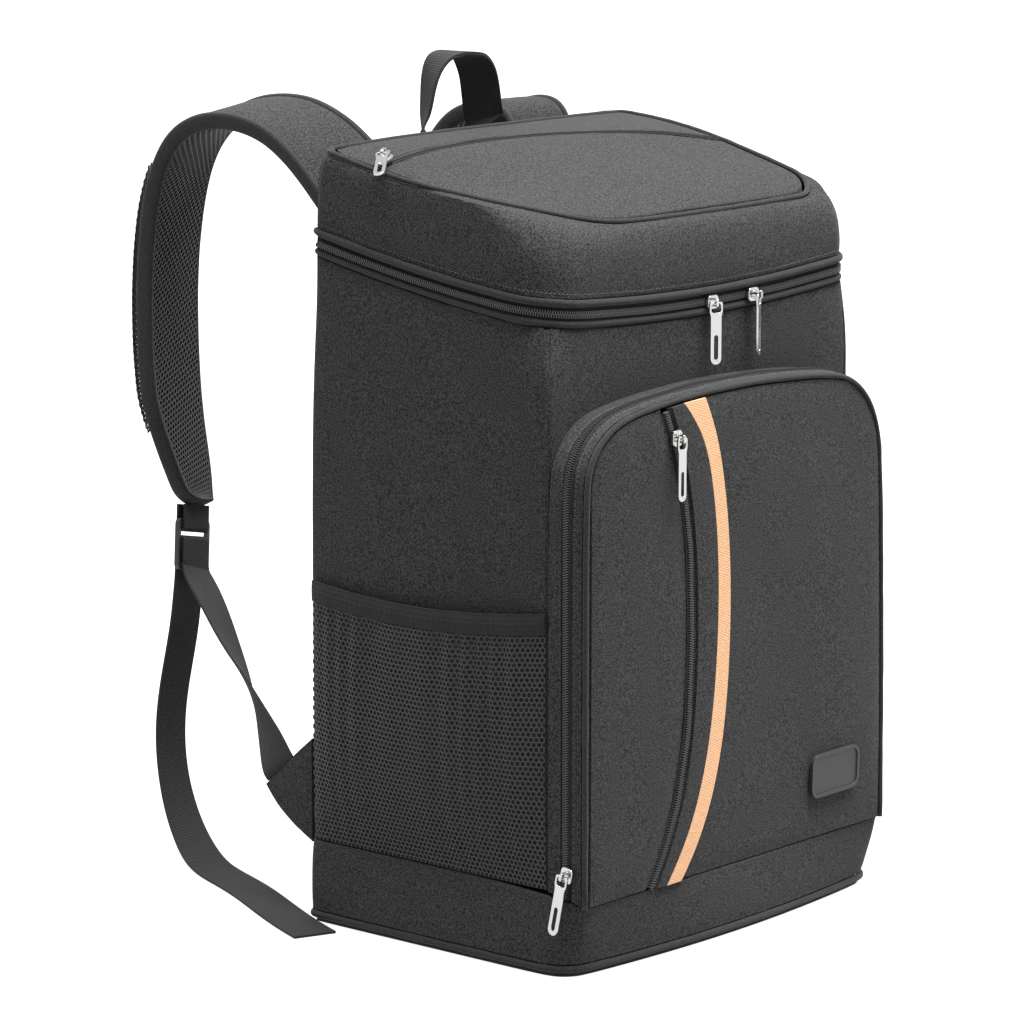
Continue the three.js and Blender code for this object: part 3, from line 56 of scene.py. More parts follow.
MM = 0.001
X_AXIS = np.array([1.0, 0.0, 0.0])
Y_AXIS = np.array([0.0, 1.0, 0.0])
Z_AXIS = np.array([0.0, 0.0, 1.0])
MAIN_BODY = "bag"

# Camera, fitted to the photograph
CAMERA_PLACE = (-2.196288, -1.809905, 0.784167)
CAMERA_TARGET = (-0.035502, 0.043748, 0.250504)
CAMERA_LENS = 163.375
SENSOR_WIDTH = 36.0

camera_data = bpy.data.cameras.new("camera")
camera_data.lens = CAMERA_LENS
camera_data.sensor_width = SENSOR_WIDTH
camera_data.clip_start = 0.1
camera_data.clip_end = 60.0
camera = bpy.data.objects.new("camera", camera_data)
camera.location = CAMERA_PLACE
look = Vector(CAMERA_TARGET) - Vector(CAMERA_PLACE)
camera.rotation_euler = look.to_track_quat("-Z", "Y").to_euler()
scene.collection.objects.link(camera)
scene.camera = camera


# Materials

def shader_of(material):
    return material.node_tree.nodes["Principled BSDF"]


def plain(name, colour, roughness, metallic=0.0, sheen=0.0, specular=0.5):
    """A material that is the same all over"""
    made = bpy.data.materials.new(name)
    made.use_nodes = True
    shader = shader_of(made)
    shader.inputs["Base Color"].default_value = (*colour, 1.0)
    shader.inputs["Roughness"].default_value = roughness
    shader.inputs["Metallic"].default_value = metallic
    shader.inputs["Sheen Weight"].default_value = sheen
    shader.inputs["Specular IOR Level"].default_value = specular
    return made


def texture(material, kind, **values):
    """A texture node that reads the object's own coordinates"""
    tree = material.node_tree
    place = tree.nodes.get("Texture Coordinate") or tree.nodes.new("ShaderNodeTexCoord")
    node = tree.nodes.new(kind)
    for name, value in values.items():
        if name in node.inputs:
            node.inputs[name].default_value = value
        else:
            setattr(node, name, value)
    tree.links.new(place.outputs["Object"], node.inputs["Vector"])
    return node


def add_bump(material, source, strength, distance):
    """Adds a bump to those the shader has already"""
    tree = material.node_tree
    bump = tree.nodes.new("ShaderNodeBump")
    bump.inputs["Strength"].default_value = strength
    bump.inputs["Distance"].default_value = distance
    tree.links.new(source, bump.inputs["Height"])
    normal = shader_of(material).inputs["Normal"]
    if normal.links:
        tree.links.new(normal.links[0].from_socket, bump.inputs["Normal"])
    tree.links.new(bump.outputs["Normal"], normal)


def mottle(material, scale, stops):
    """Colours the shader by a noise, through stops of (place, colour)"""
    tree = material.node_tree
    noise = texture(material, "ShaderNodeTexNoise", Scale=scale, Detail=2.0)
    ramp = tree.nodes.new("ShaderNodeValToRGB")
    elements = ramp.color_ramp.elements
    for element, (place, colour) in zip(elements, stops):
        element.position = place
        element.color = (*colour, 1.0)
    tree.links.new(noise.outputs["Fac"], ramp.inputs["Fac"])
    tree.links.new(ramp.outputs["Color"], shader_of(material).inputs["Base Color"])


# How many lumps a metre of each texture holds
MELANGE_SCALE = 1050.0
WEAVE_SCALE = 1300.0
FIBRE_SCALE = 1400.0

WEAVE_DEPTH = 0.22 * MM
RIB_DEPTH = 0.25 * MM
CLOTH_SPECULAR = 0.15


def cloth_material(name, grey, contrast, sheen):
    """Melange cloth: fine light and dark grains, and a fine weave in relief"""
    made = plain(name, (grey, grey, grey), 0.9, sheen=sheen, specular=CLOTH_SPECULAR)
    low = [grey * (1 - contrast)] * 3
    high = [grey * (1 + contrast) * tint for tint in (0.985, 1.0, 1.03)]
    mottle(made, MELANGE_SCALE, [(0.38, low), (0.62, high)])
    grain = texture(made, "ShaderNodeTexVoronoi", Scale=WEAVE_SCALE)
    add_bump(made, grain.outputs["Distance"], 0.5, WEAVE_DEPTH)
    shader_of(made).inputs["Sheen Roughness"].default_value = 0.5
    return made


def ribbed_material(name, dark, light, direction, period, roughness=0.8):
    """Woven tape: fine ribs across one axis, with a little noise"""
    made = plain(name, dark, roughness, sheen=0.03, specular=CLOTH_SPECULAR)
    mottle(made, FIBRE_SCALE, [(0.3, dark), (0.7, light)])
    wave = texture(
        made,
        "ShaderNodeTexWave",
        Scale=math.pi / 10 / period,
        Distortion=0.6,
        bands_direction=direction,
    )
    add_bump(made, wave.outputs["Fac"], 0.7, RIB_DEPTH)
    return made


CLOTH = cloth_material("charcoal_cloth", 0.0150, 0.85, sheen=0.04)
DARK_CLOTH = cloth_material("dark_cloth", 0.012, 0.4, sheen=0.05)
WEBBING = ribbed_material("black_webbing", (0.006, 0.006, 0.007), (0.014, 0.014, 0.015), "Z", 1.3 * MM)
BAND = ribbed_material("net_band", (0.006, 0.006, 0.007), (0.013, 0.013, 0.014), "Y", 1.1 * MM)
PIPING = cloth_material("piping_cloth", 0.0115, 0.4, sheen=0.08)
TAPE = ribbed_material("zip_tape", (0.004, 0.004, 0.005), (0.009, 0.009, 0.010), "Z", 0.9 * MM)
COIL = plain("zip_coil", (0.030, 0.030, 0.032), 0.32)
THREAD = plain("thread", (0.030, 0.030, 0.032), 0.6, sheen=0.1)
NET = plain("net_strand", (0.006, 0.006, 0.007), 0.6, sheen=0.05)
PADDING = cloth_material("strap_lining", 0.004, 0.3, sheen=0.03)
ORANGE = ribbed_material("orange_tape", (0.38, 0.215, 0.115), (0.49, 0.285, 0.16), "Z", 1.0 * MM, 0.6)
NICKEL = plain("polished_nickel", (0.50, 0.49, 0.48), 0.16, metallic=1.0)
PLASTIC = plain("black_plastic", (0.008, 0.008, 0.009), 0.38)
RUBBER = plain("badge_rubber", (0.008, 0.008, 0.009), 0.5)


# Points, noise and paths

def unit(vectors):
    """Each row brought to length one"""
    lengths = np.linalg.norm(vectors, axis=-1, keepdims=True)
    return vectors / np.maximum(lengths, 1e-12)


def cloth_noise(points, size, seed):
    """A smooth noise from -1 to 1 whose lumps are about size across"""
    place = points / size + 31.7 * seed
    cell = np.floor(place).astype(np.int64)
    share = place - cell
    share = share * share * (3 - 2 * share)
    total = np.zeros(len(points))
    for corner in itertools.product((0, 1), repeat=3):
        spot = cell + corner
        key = spot[:, 0] * 73856093 ^ spot[:, 1] * 19349663 ^ spot[:, 2] * 83492791
        key = (key ^ (key >> 13)) * 1274126177 & 0x7FFFFFFF
        value = (key ^ (key >> 11)) % 65536 / 32768 - 1
        weight = np.prod(np.where(corner, share, 1 - share), axis=1)
        total += value * weight
    return total


def mesh_points(mesh):
    points = np.empty(len(mesh.vertices) * 3)
    mesh.vertices.foreach_get("co", points)
    return points.reshape(-1, 3)


def move_points(mesh, points):
    mesh.vertices.foreach_set("co", points.ravel())
    mesh.update()


def mesh_edges(mesh):
    edges = np.empty(len(mesh.edges) * 2, dtype=np.int64)
    mesh.edges.foreach_get("vertices", edges)
    return edges.reshape(-1, 2)


def cut(node, origin, normal):
    """The points where a plane cuts a node's edges"""
    mesh = NODES[node].data
    points = mesh_points(mesh)
    start, end = mesh_edges(mesh).T
    height = (points - origin) @ normal
    crossing = height[start] * height[end] < 0
    start, end = start[crossing], end[crossing]
    share = height[start] / (height[start] - height[end])
    return points[start] + (points[end] - points[start]) * share[:, None]


def sections(node, planes):
    """For each plane (origin, out, across) that meets the node on its out side: the plane, its cut's
    points as offsets from the origin, and how far each of them lies outwards and across"""
    found = []
    for origin, out, across in planes:
        points = cut(node, origin, np.cross(out, across))
        offsets = points - origin
        offsets = offsets[offsets @ out > 0]
        if len(offsets) < 3:
            continue
        reach = offsets @ out
        side = offsets @ across
        found.append((origin, out, across, offsets, reach, side))
    return found


def ridge(node, planes):
    """The line along the middle of a bar's outer side"""
    line = []
    for origin, out, across, _, reach, side in sections(node, planes):
        line.append(origin + out * reach.max() + across * (side.min() + side.max()) / 2)
    return np.array(line)


def edge_lines(node, planes):
    """The two lines along the edges of a strap"""
    first, second = [], []
    for origin, _, _, offsets, _, side in sections(node, planes):
        first.append(origin + offsets[side.argmin()])
        second.append(origin + offsets[side.argmax()])
    return np.array(first), np.array(second)


def fan(origin, first, second, start, end, count, across):
    """Half planes that turn about an axis from one angle to another, in degrees"""
    planes = []
    for angle in np.radians(np.linspace(start, end, count)):
        out = first * math.cos(angle) + second * math.sin(angle)
        planes.append((np.array(origin), out, across))
    return planes


def smoothed(line, rounds):
    """The line with its small corners taken off"""
    for _ in range(rounds):
        before, after = np.roll(line, 1, axis=0), np.roll(line, -1, axis=0)
        soft = line / 2 + (before + after) / 4
        soft[0], soft[-1] = line[0], line[-1]
        line = soft
    return line


def distances_along(line):
    """How far along the line each of its points is"""
    steps = np.linalg.norm(np.diff(line, axis=0), axis=1)
    return np.concatenate([[0.0], np.cumsum(steps)])


def spaced(line, count):
    """A number of points at equal steps along the line"""
    along = distances_along(line)
    stops = np.linspace(0, along[-1], count)
    return np.stack([np.interp(stops, along, line[:, axis]) for axis in range(3)], axis=1)


def resampled(line, step):
    """Points along the line at equal steps near the one given"""
    length = distances_along(line)[-1]
    return spaced(line, max(2, int(round(length / step))) + 1)


LINE_STEP = 4 * MM


def even_line(node, planes):
    """The line along the middle of a bar's outer side, without the corners of its facets"""
    return smoothed(resampled(ridge(node, planes), LINE_STEP), 3)


def mixer(distances, length, count):
    """A function that turns values at the count points of a line into values at the distances"""
    share = distances / length * (count - 1)
    before = np.clip(share.astype(int), 0, count - 2)
    part = np.clip(share - before, 0, 1)[:, None]
    return lambda values: values[before] * (1 - part) + values[before + 1] * part


def facing_away(out, line, hub):
    """The out directions, turned round where they point towards the hub"""
    towards = np.sum(out * (line - hub), axis=1) < 0
    out[towards] *= -1
    return out


def frames_of(line, hint, hub):
    """Directions along, across and out at each point. hint lies across the line, and out points
    away from the hub"""
    along = unit(np.gradient(line, axis=0))
    out = facing_away(unit(np.cross(along, np.broadcast_to(hint, line.shape))), line, hub)
    return along, unit(np.cross(out, along)), out


# Making pieces

def add_piece(name, mesh, material, replaced=(), sharp=50.0):
    """Puts a mesh in the scene as a piece of the object, with edges sharp from that many degrees"""
    mesh.name = name
    obj = bpy.data.objects.new(name, mesh)
    scene.collection.objects.link(obj)
    mesh.materials.clear()
    mesh.materials.append(material)
    mesh.shade_smooth()
    mesh.set_sharp_from_angle(angle=math.radians(sharp))
    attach(obj, MAIN_BODY)
    if replaced:
        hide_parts(*replaced)
    return obj


def mesh_from(points, faces):
    mesh = bpy.data.meshes.new("made")
    mesh.from_pydata([tuple(point) for point in points], [], [tuple(map(int, face)) for face in faces])
    mesh.validate()
    return mesh


def sweep(line, across, out, section):
    """A mesh of a section carried along a line. The section is one list of (across, out), or one
    for each point of the line"""
    count = len(line)
    section = np.asarray(section, dtype=float)
    if section.ndim == 2:
        section = np.broadcast_to(section, (count, *section.shape))
    size = section.shape[1]
    points = line[:, None] + across[:, None] * section[..., :1] + out[:, None] * section[..., 1:]
    faces = []
    for i in range(count - 1):
        here, there = i * size, (i + 1) * size
        for k in range(size):
            side = (k + 1) % size
            faces.append((here + k, here + side, there + side, there + k))
    last = (count - 1) * size
    faces.append(range(size))
    faces.append(range(last + size - 1, last - 1, -1))
    mesh = mesh_from(points.reshape(-1, 3), faces)
    shell = bmesh.new()
    shell.from_mesh(mesh)
    bmesh.ops.recalc_face_normals(shell, faces=shell.faces)
    shell.to_mesh(mesh)
    shell.free()
    return mesh


def oval(width, height, power=2.0, count=16):
    """A rounded section: an ellipse at power 2, nearer a rectangle above that"""
    angles = np.linspace(0, 2 * math.pi, count, endpoint=False)
    cos, sin = np.cos(angles), np.sin(angles)
    across = np.sign(cos) * np.abs(cos) ** (2 / power) * width / 2
    out = np.sign(sin) * np.abs(sin) ** (2 / power) * height / 2
    return np.stack([across, out], axis=1)


def scattered(template, faces, places, axes):
    """One mesh of many copies of a small form, whose axes are across, along and out"""
    template = np.asarray(template, dtype=float)
    across, along, out = axes
    points = (
        places[:, None]
        + across[:, None] * template[None, :, :1]
        + along[:, None] * template[None, :, 1:2]
        + out[:, None] * template[None, :, 2:]
    )
    offsets = np.arange(len(places)) * len(template)
    all_faces = [[index + offset for index in face] for offset in offsets for face in faces]
    return mesh_from(points.reshape(-1, 3), all_faces)


BOX_FACES = ((0, 1, 2, 3), (7, 6, 5, 4), (0, 4, 5, 1), (1, 5, 6, 2), (2, 6, 7, 3), (3, 7, 4, 0))


def block(low, high, top_share):
    """A block from low to high that narrows towards its outer side"""
    middle = (np.array(low) + np.array(high)) / 2
    points = []
    for level, share in ((low[2], 1.0), (high[2], top_share)):
        for x, y in ((low[0], low[1]), (low[0], high[1]), (high[0], high[1]), (high[0], low[1])):
            flat = middle[:2] + (np.array((x, y)) - middle[:2]) * share
            points.append((*flat, level))
    return points


def joined(meshes):
    """Several meshes as one"""
    shell = bmesh.new()
    for mesh in meshes:
        shell.from_mesh(mesh)
    merged = bpy.data.meshes.new("joined")
    shell.to_mesh(merged)
    shell.free()
    return merged


# Cloth panels: the solid smoothed, with rounded seams, puckers along them and slack between

FLAT_ENOUGH = 50.0
RIM_STEP = 2 * MM


def smooth_copy(node, level, crease_from=38.0):
    """A finer copy of a node's mesh, creased where its facets turn by more degrees than crease_from
    and round elsewhere. Also gives points along its creases"""
    shell = bmesh.new()
    shell.from_mesh(NODES[node].data)
    bmesh.ops.remove_doubles(shell, verts=shell.verts, dist=1e-6)
    bmesh.ops.join_triangles(
        shell,
        faces=shell.faces,
        angle_face_threshold=math.radians(FLAT_ENOUGH),
        angle_shape_threshold=math.pi,
        cmp_seam=False,
        cmp_sharp=False,
        cmp_uvs=False,
        cmp_vcols=False,
        cmp_materials=False,
    )
    layer = shell.edges.layers.float.get("crease_edge") or shell.edges.layers.float.new("crease_edge")
    rims = []
    for edge in shell.edges:
        if len(edge.link_faces) == 2 and edge.calc_face_angle() > math.radians(crease_from):
            edge[layer] = 1.0
            start, end = (np.array(vertex.co) for vertex in edge.verts)
            count = max(1, int(np.linalg.norm(end - start) / RIM_STEP))
            rims += [start + (end - start) * share for share in np.linspace(0, 1, count, endpoint=False)]
    mesh = bpy.data.meshes.new(node)
    shell.to_mesh(mesh)
    shell.free()
    holder = bpy.data.objects.new("holder", mesh)
    scene.collection.objects.link(holder)
    modifier = holder.modifiers.new("finer", "SUBSURF")
    modifier.levels = level
    modifier.render_levels = level
    graph = bpy.context.evaluated_depsgraph_get()
    fine = bpy.data.meshes.new_from_object(holder.evaluated_get(graph))
    bpy.data.objects.remove(holder)
    return fine, np.array(rims)


def normals_of(mesh):
    normals = np.empty(len(mesh.vertices) * 3)
    mesh.vertex_normals.foreach_get("vector", normals)
    return normals.reshape(-1, 3)


def nearest_rim(points, rims):
    """The nearest crease point of each point, and how far it is"""
    tree = KDTree(len(rims))
    for index, rim in enumerate(rims):
        tree.insert(rim, index)
    tree.balance()
    spots = np.empty_like(points)
    distances = np.empty(len(points))
    for index, point in enumerate(points):
        spot, _, distance = tree.find(point)
        spots[index] = spot
        distances[index] = distance
    return spots, distances


BAG_CENTRE = np.array([0.0, 0.0, 0.25])


def outer_share(points, normals):
    """One on the faces that look away from the bag's middle, and none on the inner ones"""
    away = unit((points - BAG_CENTRE) * (1.0, 1.4, 0.6))
    return np.clip(np.sum(away * normals, axis=1) * 4, 0, 1)


SEAM_WIDTH = 5 * MM
PUCKER_WIDTH = 13 * MM
PUCKER_LENGTH = 8 * MM
SLACK_LENGTH = 75 * MM
CRUMPLE_LENGTH = 19 * MM
CRUMPLE_SHARE = 0.25


def sew(mesh, rims, puff, pucker, slack, seed, extra=None):
    """Moves a panel's outer side: it dips at its seams, puckers near them and is slack between"""
    points = mesh_points(mesh)
    normals = normals_of(mesh)
    spots, distances = nearest_rim(points, rims)
    seam = np.exp(-((distances / SEAM_WIDTH) ** 1.3))
    near = np.exp(-distances / PUCKER_WIDTH) * (1 - seam * 0.7)
    move = -puff * seam
    move += pucker * near * cloth_noise(spots, PUCKER_LENGTH, seed)
    move += slack * (1 - seam) * cloth_noise(points, SLACK_LENGTH, seed + 1)
    move += slack * CRUMPLE_SHARE * (1 - seam) * cloth_noise(points, CRUMPLE_LENGTH, seed + 2)
    if extra:
        move += extra(points, seam)
    points += normals * (move * outer_share(points, normals))[:, None]
    move_points(mesh, points)


def panel(node, level, seed, puff, pucker, slack, extra=None, material=CLOTH):
    """A cloth panel in place of its solid. puff, pucker and slack are in millimetres"""
    mesh, rims = smooth_copy(node, level)
    sew(mesh, rims, puff * MM, pucker * MM, slack * MM, seed, extra)
    return add_piece(f"{node}_cloth", mesh, material, [node])


# Each panel's node, level, puff, pucker and slack
PANEL_ROWS = (
    ("left_side_panel", 4, 0.3, 0.30, 1.1),
    ("right_side_panel", 4, 0.3, 0.30, 1.1),
    ("back_panel", 4, 0.8, 0.30, 1.1),
    ("front_panel", 3, 0.3, 0.30, 0.6),
    ("lid_wall", 3, 0.8, 0.50, 1.2),
    ("lid_back", 3, 0.9, 0.35, 0.8),
    ("lid_panel", 3, 0.6, 0.30, 0.9),
    ("lid_back_strip", 3, 0.4, 0.20, 0.3),
    ("pocket_gusset_back", 3, 0.35, 0.22, 0.15),
    ("pocket_gusset_front", 3, 0.35, 0.22, 0.15),
    ("pocket_panel_left", 3, 0.8, 0.30, 0.6),
    ("pocket_panel_right", 3, 0.8, 0.30, 0.9),
    ("base_band", 3, 0.7, 0.35, 0.8),
)
PANELS = {}
for order, (node, level, puff, pucker, slack) in enumerate(PANEL_ROWS):
    PANELS[node] = panel(node, level, 3 * order + 1, puff, pucker, slack)

panel("base_panel", 2, 61, 0.0, 0.0, 0.0, material=DARK_CLOTH)
panel("slash_flap", 3, 67, 0.25, 0.15, 0.2)
for side in ("left", "right"):
    panel(f"{side}_tab", 4, 71, 0.3, 0.1, 0.1)


# The seams at the front corners: a folded edge of cloth behind the panels

SEAM_LEVELS = np.linspace(0.055, 0.3875, 60)
SEAM_LAP = 5 * MM
SEAM_SINK = 1.7 * MM
SEAM_THICKNESS = 1.6 * MM


def corner_seam(name, side):
    """A strip that closes the gap between the front panel and the side panel beside it"""
    ends = []
    for level in SEAM_LEVELS:
        front = cut("front_panel", Z_AXIS * level, Z_AXIS)
        flank = cut(f"{name}_side_panel", Z_AXIS * level, Z_AXIS)
        ends.append((front[(side * front[:, 0]).argmax()], flank[flank[:, 1].argmin()]))
    first, second = np.array(ends).transpose(1, 0, 2)
    out = np.broadcast_to(unit(np.array([side, -1.0, 0.0])), first.shape)
    across = unit(np.cross(out, Z_AXIS))
    width = np.linalg.norm(first - second, axis=1) + SEAM_LAP
    line = (first + second) / 2 - out * SEAM_SINK
    fold = sweep(line, across, out, [oval(w, SEAM_THICKNESS, 2.4) for w in width])
    add_piece(f"{name}_corner_seam", fold, CLOTH)


corner_seam("left", -1)
corner_seam("right", 1)


# Pipings

PIPING_SWELL = 0.28 * MM
PIPING_LUMP = 12 * MM
PIPING_LUMP_DEPTH = 0.2 * MM
PIPING_CREASE = 62.0


def piping(node, level):
    """A covered cord in place of its many-sided solid, swollen back to its size and a little
    lumpy"""
    mesh, _ = smooth_copy(node, level, crease_from=PIPING_CREASE)
    points = mesh_points(mesh)
    lumps = cloth_noise(points, PIPING_LUMP, len(node)) + 0.6 * cloth_noise(points, PIPING_LUMP / 3, 5)
    points += normals_of(mesh) * (PIPING_SWELL + PIPING_LUMP_DEPTH * lumps)[:, None]
    move_points(mesh, points)
    add_piece(f"{node}_cord", mesh, PIPING, [node])


piping("base_piping", 3)
piping("rim_piping", 3)
piping("lid_piping", 3)
piping("lid_top_piping", 2)
piping("pocket_piping", 3)


# Zips: a tape and its coil

TOOTH_PITCH = 1.55 * MM
TOOTH_LAP = 0.5 * MM
TOOTH_HALF_LENGTH = 0.36 * MM
TOOTH_FOOT = -1.0 * MM
TOOTH_TOP = 0.75 * MM
TOOTH_TOP_SHARE = 0.72
COIL_SINK = 0.66 * MM
TAPE_THICKNESS = 1.5 * MM


def coil(line, across, along, out, width):
    """Two rows of teeth that meet along the line"""
    rows = []
    for side, start in ((-1, 0), (1, 1)):
        low, high = sorted((side * width / 2, -side * TOOTH_LAP))
        foot = (low, -TOOTH_HALF_LENGTH, TOOTH_FOOT)
        top = (high, TOOTH_HALF_LENGTH, TOOTH_TOP)
        tooth = block(foot, top, TOOTH_TOP_SHARE)
        every = slice(start, None, 2)
        rows.append(scattered(tooth, BOX_FACES, line[every], (across[every], along[every], out[every])))
    return joined(rows)


def zipper(node, planes, hint, tape_width, coil_width, tape_sink=1.7 * MM):
    """Replaces a zip's solid by a flat tape and a coil"""
    line = resampled(even_line(node, planes), TOOTH_PITCH / 2)
    along, across, out = frames_of(line, hint, BAG_CENTRE)
    every = slice(None, None, 3)
    tape_line = (line - out * tape_sink)[every]
    tape = sweep(tape_line, across[every], out[every], oval(tape_width, TAPE_THICKNESS, 5.0, 12))
    add_piece(f"{node}_tape", tape, TAPE, [node])
    teeth = coil(line - out * COIL_SINK, across, along, out, coil_width)
    add_piece(f"{node}_coil", teeth, COIL, sharp=30.0)


BODY_AXIS = (0.0, 0.014, 0.0)
RIM_PLANES = fan(BODY_AXIS, X_AXIS, Y_AXIS, 148.5, 391.5, 320, Z_AXIS)
ARCH_AXIS = (0.0, 0.0, 0.06)
ARCH_PLANES = fan(ARCH_AXIS, X_AXIS, Z_AXIS, 184.0, -4.0, 260, Y_AXIS)
SLASH_PLANES = [(Z_AXIS * z, -Y_AXIS, X_AXIS) for z in np.linspace(0.0455, 0.335, 90)]
TOP_PLANES = [(X_AXIS * x, Z_AXIS, Y_AXIS) for x in np.linspace(-0.138, 0.138, 90)]

# The lid's tape reaches up and down behind both pipings
zipper("lid_zip", RIM_PLANES, Z_AXIS, 19 * MM, 4.8 * MM, 3.2 * MM)
zipper("pocket_zip", ARCH_PLANES, Y_AXIS, 7.6 * MM, 4.8 * MM)
zipper("slash_zip", SLASH_PLANES, X_AXIS, 7.0 * MM, 4.6 * MM)
zipper("lid_pocket_zip", TOP_PLANES, Y_AXIS, 6.6 * MM, 4.4 * MM)


# Thread: rows of stitches laid on the cloth

STITCH_HALF_LENGTH = 1.15 * MM
STITCH_HALF_WIDTH = 0.26 * MM
STITCH_FOOT = -0.1 * MM
STITCH_TOP = 0.3 * MM
STITCH = [
    (0, -STITCH_HALF_LENGTH, STITCH_FOOT),
    (STITCH_HALF_WIDTH, 0, STITCH_FOOT),
    (0, STITCH_HALF_LENGTH, STITCH_FOOT),
    (-STITCH_HALF_WIDTH, 0, STITCH_FOOT),
    (0, 0, STITCH_TOP),
]
STITCH_FACES = ((0, 1, 4), (1, 2, 4), (2, 3, 4), (3, 0, 4), (3, 2, 1, 0))
STITCH_PITCH = 2.9 * MM
STITCH_LIFT = 0.05 * MM
STITCH_SHIFT = 5.6 * MM
LID_STITCH_SHIFT = 5.5 * MM
THREAD_REACH = 9 * MM


def trees_of(*objects):
    """What a thread can lie on"""
    return [BVHTree.FromObject(obj, bpy.context.evaluated_depsgraph_get()) for obj in objects]


def laid(line, out, trees):
    """Each point of the line moved along its out direction onto the outermost surface there"""
    spots, keep = [], []
    for index, (point, direction) in enumerate(zip(line, out)):
        best = None
        start = point + direction * THREAD_REACH
        for tree in trees:
            hit, _, _, distance = tree.ray_cast(Vector(start), Vector(-direction), 2 * THREAD_REACH)
            if hit is not None and (best is None or distance < best[0]):
                best = (distance, hit)
        if best is not None:
            spots.append(np.array(best[1]))
            keep.append(index)
    return np.array(spots), keep


def stitches(name, line, hint, trees, shift):
    """A row of stitches beside a line, shifted across it"""
    line = resampled(line, STITCH_PITCH)
    along, across, out = frames_of(line, hint, BAG_CENTRE)
    line = line + across * shift
    spots, keep = laid(line, out, trees)
    axes = (across[keep], along[keep], out[keep])
    mesh = scattered(STITCH, STITCH_FACES, spots + out[keep] * STITCH_LIFT, axes)
    add_piece(name, mesh, THREAD, sharp=20.0)


lid_edge = even_line("lid_piping", RIM_PLANES)
stitches("lid_stitches", lid_edge, Z_AXIS, trees_of(PANELS["lid_wall"]), LID_STITCH_SHIFT)
arch_edge = even_line("pocket_zip", ARCH_PLANES)
gussets = trees_of(PANELS["pocket_gusset_back"], PANELS["pocket_gusset_front"])
stitches("pocket_front_stitches", arch_edge, Y_AXIS, gussets, -STITCH_SHIFT)
stitches("pocket_back_stitches", arch_edge, Y_AXIS, gussets, STITCH_SHIFT)


# Nets: a honeycomb of strands over a curved sheet

def honeycomb(width, height, pitch):
    """The strands of a flat honeycomb, as rows of (u0, v0, u1, v1)"""
    side = pitch / math.sqrt(3)
    rows = np.arange(-1, int(height / (1.5 * side)) + 2)
    columns = np.arange(-1, int(width / pitch) + 2)
    column, row = np.meshgrid(columns, rows)
    u = (column * pitch + (row % 2) * pitch / 2).ravel()
    v = (row * 1.5 * side).ravel()
    top = v + side
    knot = v + 1.5 * side
    strands = np.concatenate(
        [
            np.stack([u, v, u, top], axis=1),
            np.stack([u, top, u - pitch / 2, knot], axis=1),
            np.stack([u, top, u + pitch / 2, knot], axis=1),
        ]
    )
    limits = np.array([width, height, width, height])
    inside = np.all((strands >= 0) & (strands <= limits), axis=1)
    return strands[inside]


STRAND_FACES = ((0, 1, 5, 4), (1, 2, 6, 5), (2, 3, 7, 6), (3, 0, 4, 7))


def net_mesh(place, width, height, pitch, strand, depth):
    """place turns flat (u, v) into points on the curved sheet and the directions out of it"""
    strands = honeycomb(width, height, pitch)
    start, out = place(strands[:, 0], strands[:, 1])
    end, end_out = place(strands[:, 2], strands[:, 3])
    side = unit(np.cross(end - start, out)) * strand / 2
    corners = []
    for spot, lift in ((start, out), (end, end_out)):
        rise = lift * depth / 2
        corners += [spot - side - rise, spot + side - rise, spot + side + rise, spot - side + rise]
    points = np.stack(corners, axis=1).reshape(-1, 3)
    offsets = np.arange(len(strands)) * 8
    faces = [[index + offset for index in face] for offset in offsets for face in STRAND_FACES]
    return mesh_from(points, faces)


# The side pockets: gathered nets under elastic bands

NET_BACK, NET_FRONT = 0.1082, -0.0793
NET_LOW = 0.0523
NET_HIGH = 0.2030
NET_GRID_TOP = 0.2065
NET_ROWS = 48
NET_LEVELS = 40
NET_WIDTH = NET_BACK - NET_FRONT
NET_PITCH = 3.4 * MM
NET_STRAND = 0.75 * MM
NET_DEPTH = 0.4 * MM
NET_SINK = 1.35 * MM
NET_FOLDS = 9
FOLD_LOW = 0.28 * MM
FOLD_GAIN = 1.08 * MM
LONG_FOLD_DEPTH = 2.2 * MM
LONG_FOLD_WIDTH = 0.035
BAND_HEIGHT = 0.013
BAND_RIBS = 4.5
BAND_RIB_DEPTH = 0.5 * MM
SHIRR_PITCH = 4.2 * MM
SHIRR_DEPTH = 0.12 * MM
WELL_OUTSIDE = 0.4


def net_sag(share):
    """How far the band's foot stands above its level, from the back to the front"""
    return (4 * share - 6 * np.sin(np.pi * share)) * MM


def height_field(node, side, ys, zs):
    """How far out a node's outer side lies, over a grid of y and z"""
    fine, _ = smooth_copy(node, 2)
    shell = bmesh.new()
    shell.from_mesh(fine)
    tree = BVHTree.FromBMesh(shell)
    shell.free()
    field = np.zeros((len(ys), len(zs)))
    for i, y in enumerate(ys):
        last = None
        for j, z in enumerate(zs):
            hit = tree.ray_cast(Vector((side * WELL_OUTSIDE, y, z)), Vector((-side, 0, 0)))[0]
            if hit is not None:
                last = abs(hit.x)
            field[i, j] = last if last is not None else np.nan
    columns = np.arange(len(zs))
    for i in range(len(ys)):
        known = ~np.isnan(field[i])
        if known.any():
            field[i] = np.interp(columns, columns[known], field[i][known])
    return field


